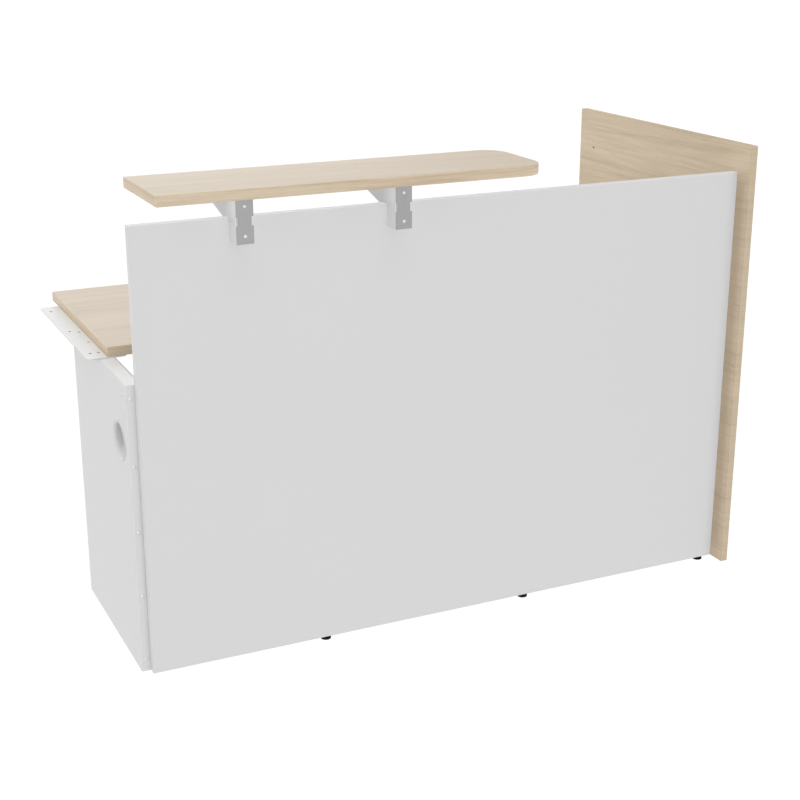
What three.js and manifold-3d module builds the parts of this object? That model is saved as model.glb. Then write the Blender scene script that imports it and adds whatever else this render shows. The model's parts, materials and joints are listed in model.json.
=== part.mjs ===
// Reception desk, the right-hand end unit of a modular range.
// A white front panel and a taller wood-decor end panel stand on levelling feet. The desktop lies between
// the end panel and a hollow steel leg that the next unit would share, and the counter stands on two steel
// brackets that saddle the top edge of the front panel.
// Millimetres, +Z up. Seen by a visitor x runs to the right and y runs away from the visitor.

import * as THREE from 'three';
import { mergeVertices } from 'three/addons/utils/BufferGeometryUtils.js';
import Module from 'manifold-3d';

const wasm = await Module();
wasm.setup();

// Clearances
const FIT = 0.3; // around a piece that sits in a hole or between two walls
const SEAT = 0.1; // under a screw head

// Boards
const FLOOR_GAP = 8; // from the floor to the lower edges of the boards and the leg
const PANEL_WIDTH = 1600;
const PANEL_HEIGHT = 1073;
const PANEL_THICKNESS = 22;
const PANEL_JOINT = 1.5; // the panel stops this far short of the line between two units
const END_DEPTH = 812;
const END_THICKNESS = 20;
const END_OVERHANG = 50; // how far the end panel stands in front of the front panel
const PANEL_ROUND = 1; // arris of the front and end panels
const DESK_HEIGHT = 746;
const DESK_DEPTH = 580;
const DESK_THICKNESS = 25;
const DESK_GAP = 229; // open gap between the front panel and the desktop
const COUNTER_LENGTH = 950;
const COUNTER_DEPTH = 258;
const COUNTER_THICKNESS = 25;
const COUNTER_START = 48; // from the line between two units to the counter's left end
const COUNTER_OVERHANG = 65; // in front of the front panel
const COUNTER_GAP = 48; // between the front panel and the counter
const COUNTER_CORNER = 60; // the two round corners on the right
const TOP_ROUND = 1.5; // arris of the desktop and the counter

// Leg of folded sheet
const LEG_WIDTH = 40;
const LEG_DEPTH = 497;
const LEG_SHEET = 1.5;
const LEG_BEND = 3; // outer radius of every fold
const COVER_RETURN = 15; // rear flange of the cover
const CAP_FLANGE = 46; // turned sides of the top and base caps
const CAP_NUT_HEIGHT = 6; // nuts under the top cap
const LEG_SCREW_COUNT = 5;
const LEG_SCREW_INSET = 30; // from the leg's ends to the first and last screw
const ROW_OFFSET = 9; // screw rows beside the line between two units
const SIDE_SCREW_INSET = 27; // from the leg's front wall
const PORT_DROP = 152; // from the leg's top to the middle of the cable port
const PORT_INSET = 78; // from the leg's front wall to the middle of the cable port
const PORT_BORE = 80; // diameter
const PORT_WALL = 5;
const PORT_RIM = 1.5; // flat rim beyond the round mouth
const PORT_LIP = 1.8; // rim in front of the leg's wall
const PORT_FLARE = 8; // round mouth of the bore
const PORT_SIDES = 40; // facets of the round pieces of the port

// Link plate and angles under the desktop
const LINK_THICKNESS = 3;
const LINK_LENGTH = 517;
const LINK_CORNER = 10;
const LINK_INSET = 48; // from the plate's ends to the first and last screw
const LINK_EDGE = 19; // from the outer screw rows to the plate's edges
const LINK_HOLE = 6.5; // diameter of the holes for the desktop screws
const LINK_SCREW_COUNT = 3;
const LINK_LAST_INSET = 25; // from the leg's rear wall to the last screw into the leg
const DESK_SCREW_CLEAR = 9; // from the leg's sides to the desktop screws
const DESK_SCREW_COUNT = 3;
const ANGLE_LEG = 40;
const ANGLE_SHEET = 3;
const ANGLE_BEND = 5;
const ANGLE_HOLE_COUNT = 3; // in each flange
const ANGLE_HOLE_INSET = 40; // from the angle's ends
const ANGLE_HOLE_LINE = 23; // from the angle's corner
const DESK_ANGLE_LENGTH = 440;
const DESK_ANGLE_INSET = 40; // behind the desktop's front edge
const CORNER_ANGLE_LENGTH = 600;
const CORNER_ANGLE_RISE = 50; // above the lower edges of the boards

// Counter brackets
const BRACKET_FIRST = 249; // from the line between two units to the middle of the first bracket
const BRACKET_PITCH = 382;
const BRACKET_WIDTH = 40;
const BRACKET_SHEET = 2.5;
const BRACKET_BEND = 4;
const BRACKET_REACH = 48; // in front of the front panel
const BRACKET_DROP = 52; // below the panel's top edge
const BRACKET_HEEL = 10; // below the panel's top edge, behind the panel
const TAIL_INSET = 8; // from the counter's rear edge
const TAIL_HEIGHT = 16;
const TONGUE_DROP = 46; // flange against the back of the panel
const TONGUE_SCREW_INSET = 14;
const COUNTER_SCREW_INSET = 30; // from the panel's back and from the bracket's tail
const FACE_THICKNESS = 2;
const FACE_TOP_GAP = 2; // between the face plate and the counter
const FACE_SCREW_RISE = 18; // from the face plate's lower end
const FACE_SCREW_INSET = 14; // from the face plate's upper end
const NOTCH_WIDTH = 4.5;
const NOTCH_HEIGHT = 21;
const NOTCH_DEPTH = 6; // behind the front of the face plate
const NOTCH_RISE = 40; // above the bracket's lower end

// Levelling feet
const FOOT_PAD = 26; // diameter
const FOOT_CROWN = 2; // round upper edge of the pad
const FOOT_STEM = 8; // diameter
const FOOT_STEM_LENGTH = 28;
const INSERT_WALL = 2;
const PANEL_FOOT_COUNT = 3;
const PANEL_FOOT_PITCH = 560;
const PANEL_FOOT_INSET = 36; // from the panel's right edge
const END_FOOT_FRONT = 110; // from the end panel's front edge
const END_FOOT_REAR = 62; // from the end panel's rear edge
const LEG_FOOT_INSET = 38; // from the leg's front and rear walls
const LEG_NUT_HEIGHT = 12;
const LEG_NUT_WALL = 3;

// Screws: radius and height of the head, radius of the shank
const MACHINE_SCREW = { head: 4, dome: 1.6, shank: 2.5 };
const WOOD_SCREW = { head: 4.5, dome: 2.2, shank: 2.25 };
const MACHINE_LENGTH = 12;
const WOOD_GRIP = 14; // length of a wood screw inside a board
const FLUSH_HEAD = 4; // radius of the flush heads in the link plate
const FLUSH_HEAD_DEPTH = 2.6;

// Levels and places that follow from the sizes above
const panelTop = FLOOR_GAP + PANEL_HEIGHT;
const panelRight = PANEL_JOINT + PANEL_WIDTH;
const counterBottom = panelTop + COUNTER_GAP;
const counterTop = counterBottom + COUNTER_THICKNESS;
const counterRear = COUNTER_DEPTH - COUNTER_OVERHANG;
const deskBottom = DESK_HEIGHT - DESK_THICKNESS;
const deskFront = PANEL_THICKNESS + DESK_GAP;
const legTop = deskBottom - LINK_THICKNESS;
const legHalf = LEG_WIDTH / 2;
const deskScrewRow = legHalf + DESK_SCREW_CLEAR;
const linkHalf = deskScrewRow + LINK_EDGE;
const portHeight = legTop - PORT_DROP;
const portOuter = PORT_BORE / 2 + PORT_WALL;
const portRim = PORT_BORE / 2 + PORT_FLARE + PORT_RIM;

const FRONT = new THREE.Vector3(0, -1, 0);
const REAR = new THREE.Vector3(0, 1, 0);
const LEFT = new THREE.Vector3(-1, 0, 0);
const RIGHT = new THREE.Vector3(1, 0, 0);
const UP = new THREE.Vector3(0, 0, 1);
const DOWN = new THREE.Vector3(0, 0, -1);
const TURNING_AXIS = new THREE.Vector3(0, 1, 0);

const MATERIALS = {
  whiteBoard: { color: 0xd7d7d7, roughness: 0.55, metalness: 0 },
  woodBoard: { color: 0xd9c9b0, roughness: 0.5, metalness: 0 },
  whiteSteel: { color: 0xdcdcdc, roughness: 0.45, metalness: 0 },
  greySteel: { color: 0xa8a8a8, roughness: 0.4, metalness: 0.7 },
  zinc: { color: 0xdadad8, roughness: 0.3, metalness: 0.9 },
  whitePlastic: { color: 0xe0e0e0, roughness: 0.5, metalness: 0 },
  blackPlastic: { color: 0x181818, roughness: 0.6, metalness: 0 },
};

// Booleans: a geometry becomes a solid without its seams, and the result comes back as a geometry.

function toSolid(geometry) {
  const bare = geometry.clone();
  bare.deleteAttribute('normal');
  bare.deleteAttribute('uv');
  const merged = mergeVertices(bare, 1e-4);
  const corners = merged.index.array;
  const kept = [];
  for (let i = 0; i < corners.length; i += 3) {
    const [a, b, c] = [corners[i], corners[i + 1], corners[i + 2]];
    if (a !== b && b !== c && c !== a) kept.push(a, b, c);
  }
  const vertProperties = merged.attributes.position.array;
  const triVerts = new Uint32Array(kept);
  return new wasm.Manifold(new wasm.Mesh({ numProp: 3, vertProperties, triVerts }));
}

function toGeometry(solid) {
  const { vertProperties, triVerts } = solid.getMesh();
  const geometry = new THREE.BufferGeometry();
  geometry.setAttribute('position', new THREE.BufferAttribute(vertProperties, 3));
  geometry.setIndex(new THREE.BufferAttribute(triVerts, 1));
  geometry.computeVertexNormals();
  return geometry;
}

function cut(geometry, tools) {
  return toGeometry(tools.reduce((solid, tool) => solid.subtract(toSolid(tool)), toSolid(geometry)));
}

function join(geometries) {
  return toGeometry(geometries.map(toSolid).reduce((solid, other) => solid.add(other)));
}

function common(first, second) {
  return toGeometry(toSolid(first).intersect(toSolid(second)));
}

// Shapes

const PLANES = {
  xy: new THREE.Matrix4(),
  xz: new THREE.Matrix4().makeBasis(RIGHT, UP, FRONT),
  yz: new THREE.Matrix4().makeBasis(REAR, UP, RIGHT),
};

// A flat shape drawn in one of the three planes, given its thickness towards +z, +y or +x.
function slab(shape, thickness, plane, round = 0) {
  const geometry = new THREE.ExtrudeGeometry(shape, {
    depth: thickness - 2 * round,
    bevelEnabled: round > 0,
    bevelThickness: round,
    bevelSize: round,
    bevelOffset: -round,
    bevelSegments: 2,
  });
  geometry.translate(0, 0, round);
  geometry.applyMatrix4(PLANES[plane]);
  if (plane === 'xz') geometry.translate(0, thickness, 0);
  return geometry;
}

function polygon(points) {
  return new THREE.Shape(points.map(([x, y]) => new THREE.Vector2(x, y)));
}

function rectangle(x0, y0, x1, y1) {
  return polygon([[x0, y0], [x1, y0], [x1, y1], [x0, y1]]);
}

// Rectangle whose corners have their own radii, from the lower left corner round to the upper left.
function roundedRectangle(x0, y0, x1, y1, radii) {
  const corners = [[x0, y0, 1, 1], [x1, y0, -1, 1], [x1, y1, -1, -1], [x0, y1, 1, -1]];
  return polygon(corners.flatMap(([x, y, dx, dy], i) => {
    const radius = radii[i];
    if (radius === 0) return [[x, y]];
    const start = Math.PI * (1 + i / 2);
    return arcPoints(x + dx * radius, y + dy * radius, radius, start, start + Math.PI / 2, 10);
  }));
}

// Cross-section of a strip of sheet that is folded square, always to the same side, along its outer face.
function foldedStrip(corners, sheet, bend) {
  const points = corners.map(([x, y]) => new THREE.Vector2(x, y));
  const runs = points.slice(1).map((point, i) => point.clone().sub(points[i]).normalize());
  const turn = (Math.sign(runs[0].cross(runs[1])) * Math.PI) / 2;
  const folds = runs.slice(1).map((out, i) => {
    const centre = points[i + 1].clone().addScaledVector(runs[i], -bend).addScaledVector(out, bend);
    return { centre, start: out.clone().negate().angle() };
  });
  const face = (radius, first, last) => [
    first.toArray(),
    ...folds.flatMap(({ centre, start }) => arcPoints(centre.x, centre.y, radius, start, start + turn, 4)),
    last.toArray(),
  ];
  const first = points[0];
  const last = points[points.length - 1];
  const firstInside = first.clone().addScaledVector(runs[1], sheet);
  const lastInside = last.clone().addScaledVector(runs[runs.length - 2], -sheet);
  const inside = face(bend - sheet, firstInside, lastInside);
  return polygon([...face(bend, first, last), ...inside.reverse()]);
}

function box(x0, y0, z0, x1, y1, z1) {
  const geometry = new THREE.BoxGeometry(x1 - x0, y1 - y0, z1 - z0);
  geometry.translate((x0 + x1) / 2, (y0 + y1) / 2, (z0 + z1) / 2);
  return geometry;
}

function turned(geometry, direction, from) {
  geometry.applyQuaternion(new THREE.Quaternion().setFromUnitVectors(TURNING_AXIS, direction));
  geometry.translate(...from);
  return geometry;
}

// Cylinder that starts at a point and runs in a direction.
function rod(radius, length, from, direction, sides = 12) {
  const geometry = new THREE.CylinderGeometry(radius, radius, length, sides);
  geometry.translate(0, length / 2, 0);
  return turned(geometry, direction, from);
}

// Cutters for round holes: they start a little outside the mouth. One for a wall also runs past its far face.
function bore(radius, depth, mouth, direction, sides) {
  const outside = direction.clone().multiplyScalar(-FIT);
  return rod(radius, depth + FIT, mouth, direction, sides).translate(...outside);
}

function hole(radius, wall, mouth, direction, sides) {
  return bore(radius, wall + FIT, mouth, direction, sides);
}

function lathe(profile, segments) {
  return new THREE.LatheGeometry(profile.map(([x, y]) => new THREE.Vector2(x, y)), segments);
}

function arcPoints(x, y, radius, from, to, steps) {
  return Array.from({ length: steps + 1 }, (_, i) => {
    const angle = from + ((to - from) * i) / steps;
    return [x + radius * Math.cos(angle), y + radius * Math.sin(angle)];
  });
}

// Even steps from one place to another.
function spread(from, to, count) {
  return Array.from({ length: count }, (_, i) => from + ((to - from) * i) / (count - 1));
}

// Meshes

const desk = new THREE.Group();

function add(parent, name, geometry, finish, position = [0, 0, 0]) {
  const mesh = new THREE.Mesh(geometry, new THREE.MeshStandardMaterial(MATERIALS[finish]));
  mesh.name = name;
  mesh.position.set(...position);
  parent.add(mesh);
  return mesh;
}

function group(x, y, z) {
  const child = new THREE.Group();
  child.position.set(x, y, z);
  desk.add(child);
  return child;
}

// Domed screw whose head lies on a face at the given point and looks in the given direction.
function addScrew(parent, name, { head, dome, shank }, length, finish, at, looks) {
  const profile = [[0, -length], [shank, -length], [shank, 0], [head, 0], [head, 0.4 * dome]];
  profile.push([0.65 * head, 0.85 * dome], [0, dome]);
  const seat = at.map((value, i) => value + SEAT * looks.getComponent(i));
  const mesh = add(parent, name, lathe(profile, 12), finish, seat);
  mesh.quaternion.setFromUnitVectors(TURNING_AXIS, looks);
}

// Places of the screws and feet that more than one piece needs

const legScrewHeights = spread(FLOOR_GAP + LEG_SCREW_INSET, legTop - LEG_SCREW_INSET, LEG_SCREW_COUNT);
const sideScrewHeights = [legScrewHeights[0], legScrewHeights[LEG_SCREW_COUNT - 1]];
const deskScrewPlaces = spread(
  deskFront + LINK_INSET,
  deskFront + LINK_LENGTH - LINK_INSET,
  DESK_SCREW_COUNT,
);
const linkScrewPlaces = spread(
  deskFront + LINK_INSET,
  PANEL_THICKNESS + LEG_DEPTH - LINK_LAST_INSET,
  LINK_SCREW_COUNT,
);
const bracketPlaces = [BRACKET_FIRST, BRACKET_FIRST + BRACKET_PITCH];
const tongueScrewHeights = [panelTop - TONGUE_DROP + TONGUE_SCREW_INSET, panelTop - TONGUE_SCREW_INSET];
const tailEnd = counterRear - TAIL_INSET;
const counterScrewPlaces = [PANEL_THICKNESS + COUNTER_SCREW_INSET, tailEnd - COUNTER_SCREW_INSET];
const faceBottom = panelTop - BRACKET_DROP;
const faceTop = counterBottom - FACE_TOP_GAP;
const faceScrewHeights = [faceBottom + FACE_SCREW_RISE, faceTop - FACE_SCREW_INSET];
const lastPanelFoot = panelRight - PANEL_FOOT_INSET;
const panelFootPlaces = spread(
  lastPanelFoot - PANEL_FOOT_PITCH * (PANEL_FOOT_COUNT - 1),
  lastPanelFoot,
  PANEL_FOOT_COUNT,
);
const endRear = END_DEPTH - END_OVERHANG;
const endFootPlaces = [END_FOOT_FRONT - END_OVERHANG, endRear - END_FOOT_REAR];
const endMiddle = panelRight + END_THICKNESS / 2;
const insertOuter = FOOT_STEM / 2 + FIT + INSERT_WALL;
const insertLength = FOOT_STEM_LENGTH + INSERT_WALL;
const screwHole = MACHINE_SCREW.shank + FIT;
const pilotHole = WOOD_SCREW.shank + FIT;
const pilotDepth = WOOD_GRIP + FIT;

// Boards

const insertBore = (x, y) => bore(insertOuter + FIT, insertLength + FIT, [x, y, FLOOR_GAP], UP);

function frontPanel() {
  const outline = rectangle(PANEL_JOINT, FLOOR_GAP, panelRight, panelTop);
  const bores = panelFootPlaces.map((x) => insertBore(x, PANEL_THICKNESS / 2));
  for (const z of legScrewHeights) {
    bores.push(bore(pilotHole, pilotDepth, [ROW_OFFSET, PANEL_THICKNESS, z], FRONT));
  }
  for (const x of bracketPlaces) {
    for (const z of tongueScrewHeights) {
      bores.push(bore(pilotHole, pilotDepth, [x, PANEL_THICKNESS, z], FRONT));
    }
  }
  return cut(slab(outline, PANEL_THICKNESS, 'xz', PANEL_ROUND), bores);
}

function endPanel() {
  const outline = rectangle(-END_OVERHANG, FLOOR_GAP, endRear, counterTop);
  const board = slab(outline, END_THICKNESS, 'yz', PANEL_ROUND);
  board.translate(panelRight, 0, 0);
  return cut(board, endFootPlaces.map((y) => insertBore(endMiddle, y)));
}

function desktop() {
  const board = slab(rectangle(0, 0, panelRight, DESK_DEPTH), DESK_THICKNESS, 'xy', TOP_ROUND);
  board.translate(0, deskFront, deskBottom);
  const bores = deskScrewPlaces.map((y) => bore(pilotHole, pilotDepth, [deskScrewRow, y, deskBottom], UP));
  return cut(board, bores);
}

function counter() {
  const corners = [0, COUNTER_CORNER, COUNTER_CORNER, 0];
  const outline = roundedRectangle(0, 0, COUNTER_LENGTH, COUNTER_DEPTH, corners);
  const board = slab(outline, COUNTER_THICKNESS, 'xy', TOP_ROUND);
  board.translate(COUNTER_START, -COUNTER_OVERHANG, counterBottom);
  const bores = bracketPlaces.flatMap((x) =>
    counterScrewPlaces.map((y) => bore(pilotHole, pilotDepth, [x, y, counterBottom], UP)));
  return cut(board, bores);
}

add(desk, 'front_panel', frontPanel(), 'whiteBoard');
add(desk, 'end_panel', endPanel(), 'woodBoard');
add(desk, 'desktop', desktop(), 'woodBoard');
add(desk, 'counter_top', counter(), 'woodBoard');

// Leg: a folded shell, a folded cover on the operator's side and two folded caps between their walls.
// Its group starts on the leg's front wall, so y is measured from the back of the front panel.

const leg = group(0, PANEL_THICKNESS, 0);
const coverFront = LEG_SHEET + FIT;
const coverRear = LEG_DEPTH - coverFront;
const flangeInside = coverFront + LEG_SHEET;
const capStart = coverFront + LEG_BEND + FIT; // clear of the cover's folds
const capLength = LEG_DEPTH - 2 * capStart;
const capHalf = legHalf - LEG_SHEET - FIT;
const legFootPlaces = [LEG_FOOT_INSET, LEG_DEPTH - LEG_FOOT_INSET];

const portHole = (x) => hole(portOuter + FIT, LEG_SHEET, [x, PORT_INSET, portHeight], RIGHT, PORT_SIDES);
const wallHoles = (rows, depth) => rows.flatMap((x) =>
  legScrewHeights.map((z) => hole(screwHole, depth, [x, 0, z], REAR)));

function legShell() {
  const walls = [[legHalf, 0], [-legHalf, 0], [-legHalf, LEG_DEPTH], [legHalf, LEG_DEPTH]];
  const shell = slab(foldedStrip(walls, LEG_SHEET, LEG_BEND), legTop - FLOOR_GAP, 'xy');
  shell.translate(0, 0, FLOOR_GAP);
  const holes = wallHoles([-ROW_OFFSET, ROW_OFFSET], LEG_SHEET);
  holes.push(portHole(-legHalf));
  for (const z of sideScrewHeights) {
    holes.push(hole(screwHole, LEG_SHEET, [-legHalf, SIDE_SCREW_INSET, z], RIGHT));
  }
  return cut(shell, holes);
}

function legCover() {
  const flangeEnd = LEG_BEND + FIT - legHalf;
  const returnEnd = legHalf - COVER_RETURN;
  const walls = [
    [flangeEnd, coverFront],
    [legHalf, coverFront],
    [legHalf, coverRear],
    [returnEnd, coverRear],
  ];
  const cover = slab(foldedStrip(walls, LEG_SHEET, LEG_BEND), legTop - FLOOR_GAP, 'xy');
  cover.translate(0, 0, FLOOR_GAP);
  const holes = wallHoles([-ROW_OFFSET, ROW_OFFSET], flangeInside);
  holes.push(portHole(legHalf - LEG_SHEET));
  return cut(cover, holes);
}

// Channel along the leg whose sides turn down from the top, or up from the base.
function capChannel(level, turn) {
  const end = level + turn * CAP_FLANGE;
  const walls = [[-capHalf, end], [-capHalf, level], [capHalf, level], [capHalf, end]];
  return slab(foldedStrip(walls, LEG_SHEET, LEG_BEND), capLength, 'xz').translate(0, capStart, 0);
}

const sideScrewHole = (z) => hole(screwHole, LEG_SHEET, [-capHalf, SIDE_SCREW_INSET, z], RIGHT);

function legTopCap() {
  const holes = [sideScrewHole(sideScrewHeights[1])];
  const bosses = [];
  for (const y of linkScrewPlaces) {
    const middle = [-ROW_OFFSET, y - PANEL_THICKNESS, legTop];
    bosses.push(rod(screwHole + LEG_NUT_WALL, CAP_NUT_HEIGHT, middle, DOWN));
    holes.push(hole(screwHole, CAP_NUT_HEIGHT, middle, DOWN));
  }
  return cut(join([capChannel(legTop, -1), ...bosses]), holes);
}

function legBaseCap() {
  const threads = FOOT_STEM / 2 + FIT;
  const nut = threads + LEG_NUT_WALL;
  const nuts = legFootPlaces.map((y) => rod(nut, LEG_NUT_HEIGHT, [0, y, FLOOR_GAP], UP, 6));
  const holes = legFootPlaces.map((y) => hole(threads, LEG_NUT_HEIGHT, [0, y, FLOOR_GAP], UP));
  holes.push(sideScrewHole(sideScrewHeights[0]));
  return cut(join([capChannel(FLOOR_GAP, 1), ...nuts]), holes);
}

// The port's sleeve runs through the leg. Its mouth is flared, and its rim lies on the left wall.
function portSleeve() {
  const inner = PORT_BORE / 2;
  const mouth = -legHalf - PORT_LIP;
  const far = legHalf + PORT_LIP;
  const profile = [
    ...arcPoints(inner + PORT_FLARE, mouth + PORT_FLARE, PORT_FLARE, Math.PI, 1.5 * Math.PI, 3),
    ...arcPoints(portRim - PORT_LIP / 2, mouth + PORT_LIP / 2, PORT_LIP / 2, -Math.PI / 2, 0, 2),
    [portRim, -legHalf - SEAT],
    [portOuter, -legHalf - SEAT],
    [portOuter, far],
    [inner, far],
    [inner, mouth + PORT_FLARE],
  ];
  return lathe(profile, PORT_SIDES);
}

function portRing() {
  const inner = portOuter + FIT;
  const bevel = 0.4 * PORT_LIP;
  const profile = [
    [inner, SEAT],
    [portRim, SEAT],
    [portRim, PORT_LIP - bevel],
    [portRim - bevel, PORT_LIP],
    [inner, PORT_LIP],
    [inner, SEAT],
  ];
  return lathe(profile, PORT_SIDES);
}

add(leg, 'leg_shell', legShell(), 'whiteSteel');
add(leg, 'leg_cover', legCover(), 'whiteSteel');
add(leg, 'leg_top_cap', legTopCap(), 'whiteSteel');
add(leg, 'leg_base_cap', legBaseCap(), 'whiteSteel');
const sleeve = add(leg, 'cable_port_sleeve', portSleeve(), 'whitePlastic', [0, PORT_INSET, portHeight]);
sleeve.quaternion.setFromUnitVectors(TURNING_AXIS, RIGHT);
const ring = add(leg, 'cable_port_ring', portRing(), 'whitePlastic', [legHalf, PORT_INSET, portHeight]);
ring.quaternion.setFromUnitVectors(TURNING_AXIS, RIGHT);

legScrewHeights.forEach((z, i) => {
  const free = [-ROW_OFFSET, 0, z];
  addScrew(leg, `leg_front_screw_${i + 1}`, MACHINE_SCREW, MACHINE_LENGTH, 'zinc', free, FRONT);
  const inside = [ROW_OFFSET, flangeInside, z];
  addScrew(leg, `panel_screw_${i + 1}`, WOOD_SCREW, WOOD_GRIP + flangeInside, 'zinc', inside, REAR);
});
['lower', 'upper'].forEach((name, i) => {
  const at = [-legHalf, SIDE_SCREW_INSET, sideScrewHeights[i]];
  addScrew(leg, `leg_side_screw_${name}`, MACHINE_SCREW, MACHINE_LENGTH, 'zinc', at, LEFT);
});

// Link plate on the leg, half of it free for the next unit's desktop

function linkPlate() {
  const corners = [LINK_CORNER, LINK_CORNER, LINK_CORNER, LINK_CORNER];
  const plate = slab(roundedRectangle(-linkHalf, 0, linkHalf, LINK_LENGTH, corners), LINK_THICKNESS, 'xy');
  plate.translate(0, deskFront, legTop);
  const holes = [];
  for (const x of [-deskScrewRow, deskScrewRow]) {
    for (const y of deskScrewPlaces) holes.push(hole(LINK_HOLE / 2, LINK_THICKNESS, [x, y, legTop], UP));
  }
  const sinkDepth = FLUSH_HEAD_DEPTH + FIT;
  const sinkTop = FLUSH_HEAD + FIT + ((FLUSH_HEAD + FIT - screwHole) / sinkDepth) * FIT;
  for (const y of linkScrewPlaces) {
    const sink = lathe([[0, -sinkDepth], [screwHole, -sinkDepth], [sinkTop, FIT], [0, FIT]], 12);
    holes.push(turned(sink, UP, [-ROW_OFFSET, y, deskBottom]));
    holes.push(hole(screwHole, LINK_THICKNESS, [-ROW_OFFSET, y, legTop], UP));
  }
  return cut(plate, holes);
}

function flushScrew() {
  const { shank } = MACHINE_SCREW;
  const [tip, neck] = [-MACHINE_LENGTH, -FLUSH_HEAD_DEPTH];
  return lathe([[0, tip], [shank, tip], [shank, neck], [FLUSH_HEAD, 0], [0, 0]], 12);
}

add(desk, 'link_plate', linkPlate(), 'whiteSteel');
linkScrewPlaces.forEach((y, i) => {
  const at = [-ROW_OFFSET, y, deskBottom - SEAT];
  const mesh = add(desk, `link_plate_screw_${i + 1}`, flushScrew(), 'zinc', at);
  mesh.quaternion.setFromUnitVectors(TURNING_AXIS, UP);
});
deskScrewPlaces.forEach((y, i) => {
  const at = [deskScrewRow, y, legTop];
  addScrew(desk, `desktop_screw_${i + 1}`, WOOD_SCREW, WOOD_GRIP + LINK_THICKNESS, 'zinc', at, DOWN);
});

// Angles: one carries the desktop's right end, one joins the front panel to the end panel

const angleHolePlaces = (start, length) =>
  spread(start + ANGLE_HOLE_INSET, start + length - ANGLE_HOLE_INSET, ANGLE_HOLE_COUNT);

function deskAngle() {
  const start = deskFront + DESK_ANGLE_INSET;
  const onEnd = [panelRight, deskBottom - ANGLE_LEG];
  const underDesk = [panelRight - ANGLE_LEG, deskBottom];
  const profile = foldedStrip([onEnd, [panelRight, deskBottom], underDesk], ANGLE_SHEET, ANGLE_BEND);
  const angle = slab(profile, DESK_ANGLE_LENGTH, 'xz').translate(0, start, 0);
  const holes = angleHolePlaces(start, DESK_ANGLE_LENGTH).flatMap((y) => [
    hole(pilotHole, ANGLE_SHEET, [panelRight, y, deskBottom - ANGLE_HOLE_LINE], LEFT),
    hole(pilotHole, ANGLE_SHEET, [panelRight - ANGLE_HOLE_LINE, y, deskBottom], DOWN),
  ]);
  return cut(angle, holes);
}

function cornerAngle() {
  const start = FLOOR_GAP + CORNER_ANGLE_RISE;
  const onPanel = [panelRight - ANGLE_LEG, PANEL_THICKNESS];
  const onEnd = [panelRight, PANEL_THICKNESS + ANGLE_LEG];
  const profile = foldedStrip([onPanel, [panelRight, PANEL_THICKNESS], onEnd], ANGLE_SHEET, ANGLE_BEND);
  const angle = slab(profile, CORNER_ANGLE_LENGTH, 'xy').translate(0, 0, start);
  const holes = angleHolePlaces(start, CORNER_ANGLE_LENGTH).flatMap((z) => [
    hole(pilotHole, ANGLE_SHEET, [panelRight, PANEL_THICKNESS + ANGLE_HOLE_LINE, z], LEFT),
    hole(pilotHole, ANGLE_SHEET, [panelRight - ANGLE_HOLE_LINE, PANEL_THICKNESS, z], REAR),
  ]);
  return cut(angle, holes);
}

add(desk, 'desktop_angle', deskAngle(), 'whiteSteel');
add(desk, 'corner_angle', cornerAngle(), 'whiteSteel');

// Counter brackets: a folded channel that saddles the panel, cut to the arm's tapered outline, with a web
// under the counter, a saddle on the panel's top edge and a tongue against its back. x is measured from the
// bracket's middle.

const bracketHalf = BRACKET_WIDTH / 2;
const webHalf = bracketHalf - BRACKET_SHEET / 2;
const saddleBottom = panelTop + FIT;
const saddleTop = saddleBottom + BRACKET_SHEET;
const tongueFront = PANEL_THICKNESS + FIT;
const tongueRear = tongueFront + BRACKET_SHEET;
const faceFront = -BRACKET_REACH - FACE_THICKNESS;
const notchBottom = faceBottom + NOTCH_RISE;
const notches = () => [-1, 1].map((side) => {
  const middle = side * bracketHalf;
  const [near, far] = [middle - NOTCH_WIDTH, middle + NOTCH_WIDTH];
  return box(near, faceFront - FIT, notchBottom, far, faceFront + NOTCH_DEPTH, notchBottom + NOTCH_HEIGHT);
});
const faceScrewHoles = () => faceScrewHeights.map((z) =>
  hole(screwHole, FACE_THICKNESS + BRACKET_SHEET, [0, faceFront, z], REAR));

function bracketBody() {
  const plan = [
    [-bracketHalf, tailEnd],
    [-bracketHalf, -BRACKET_REACH],
    [bracketHalf, -BRACKET_REACH],
    [bracketHalf, tailEnd],
  ];
  const channel = slab(foldedStrip(plan, BRACKET_SHEET, BRACKET_BEND), counterBottom - faceBottom, 'xy');
  channel.translate(0, 0, faceBottom);
  const side = polygon([
    [-BRACKET_REACH - FIT, counterBottom + FIT],
    [-BRACKET_REACH - FIT, faceBottom - FIT],
    [-FIT, faceBottom - FIT],
    [-FIT, saddleBottom],
    [tongueFront, saddleBottom],
    [tongueFront, panelTop - BRACKET_HEEL],
    [tailEnd, counterBottom - TAIL_HEIGHT],
    [tailEnd, counterBottom + FIT],
  ]);
  const blank = slab(side, BRACKET_WIDTH + 2 * FIT, 'yz').translate(-bracketHalf - FIT, 0, 0);
  const arm = common(channel, blank);
  const webFront = -BRACKET_REACH + BRACKET_SHEET / 2;
  const topWeb = box(-webHalf, webFront, counterBottom - BRACKET_SHEET, webHalf, tailEnd, counterBottom);
  const saddle = box(-webHalf, -FIT, saddleBottom, webHalf, tongueRear, saddleTop);
  const tongue = box(-webHalf, tongueFront, panelTop - TONGUE_DROP, webHalf, tongueRear, saddleTop);
  const holes = [...notches(), ...faceScrewHoles()];
  for (const z of tongueScrewHeights) {
    holes.push(hole(pilotHole, BRACKET_SHEET, [0, tongueFront, z], REAR));
  }
  for (const y of counterScrewPlaces) {
    holes.push(hole(pilotHole, BRACKET_SHEET, [0, y, counterBottom], DOWN));
  }
  return cut(join([arm, topWeb, saddle, tongue]), holes);
}

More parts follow.
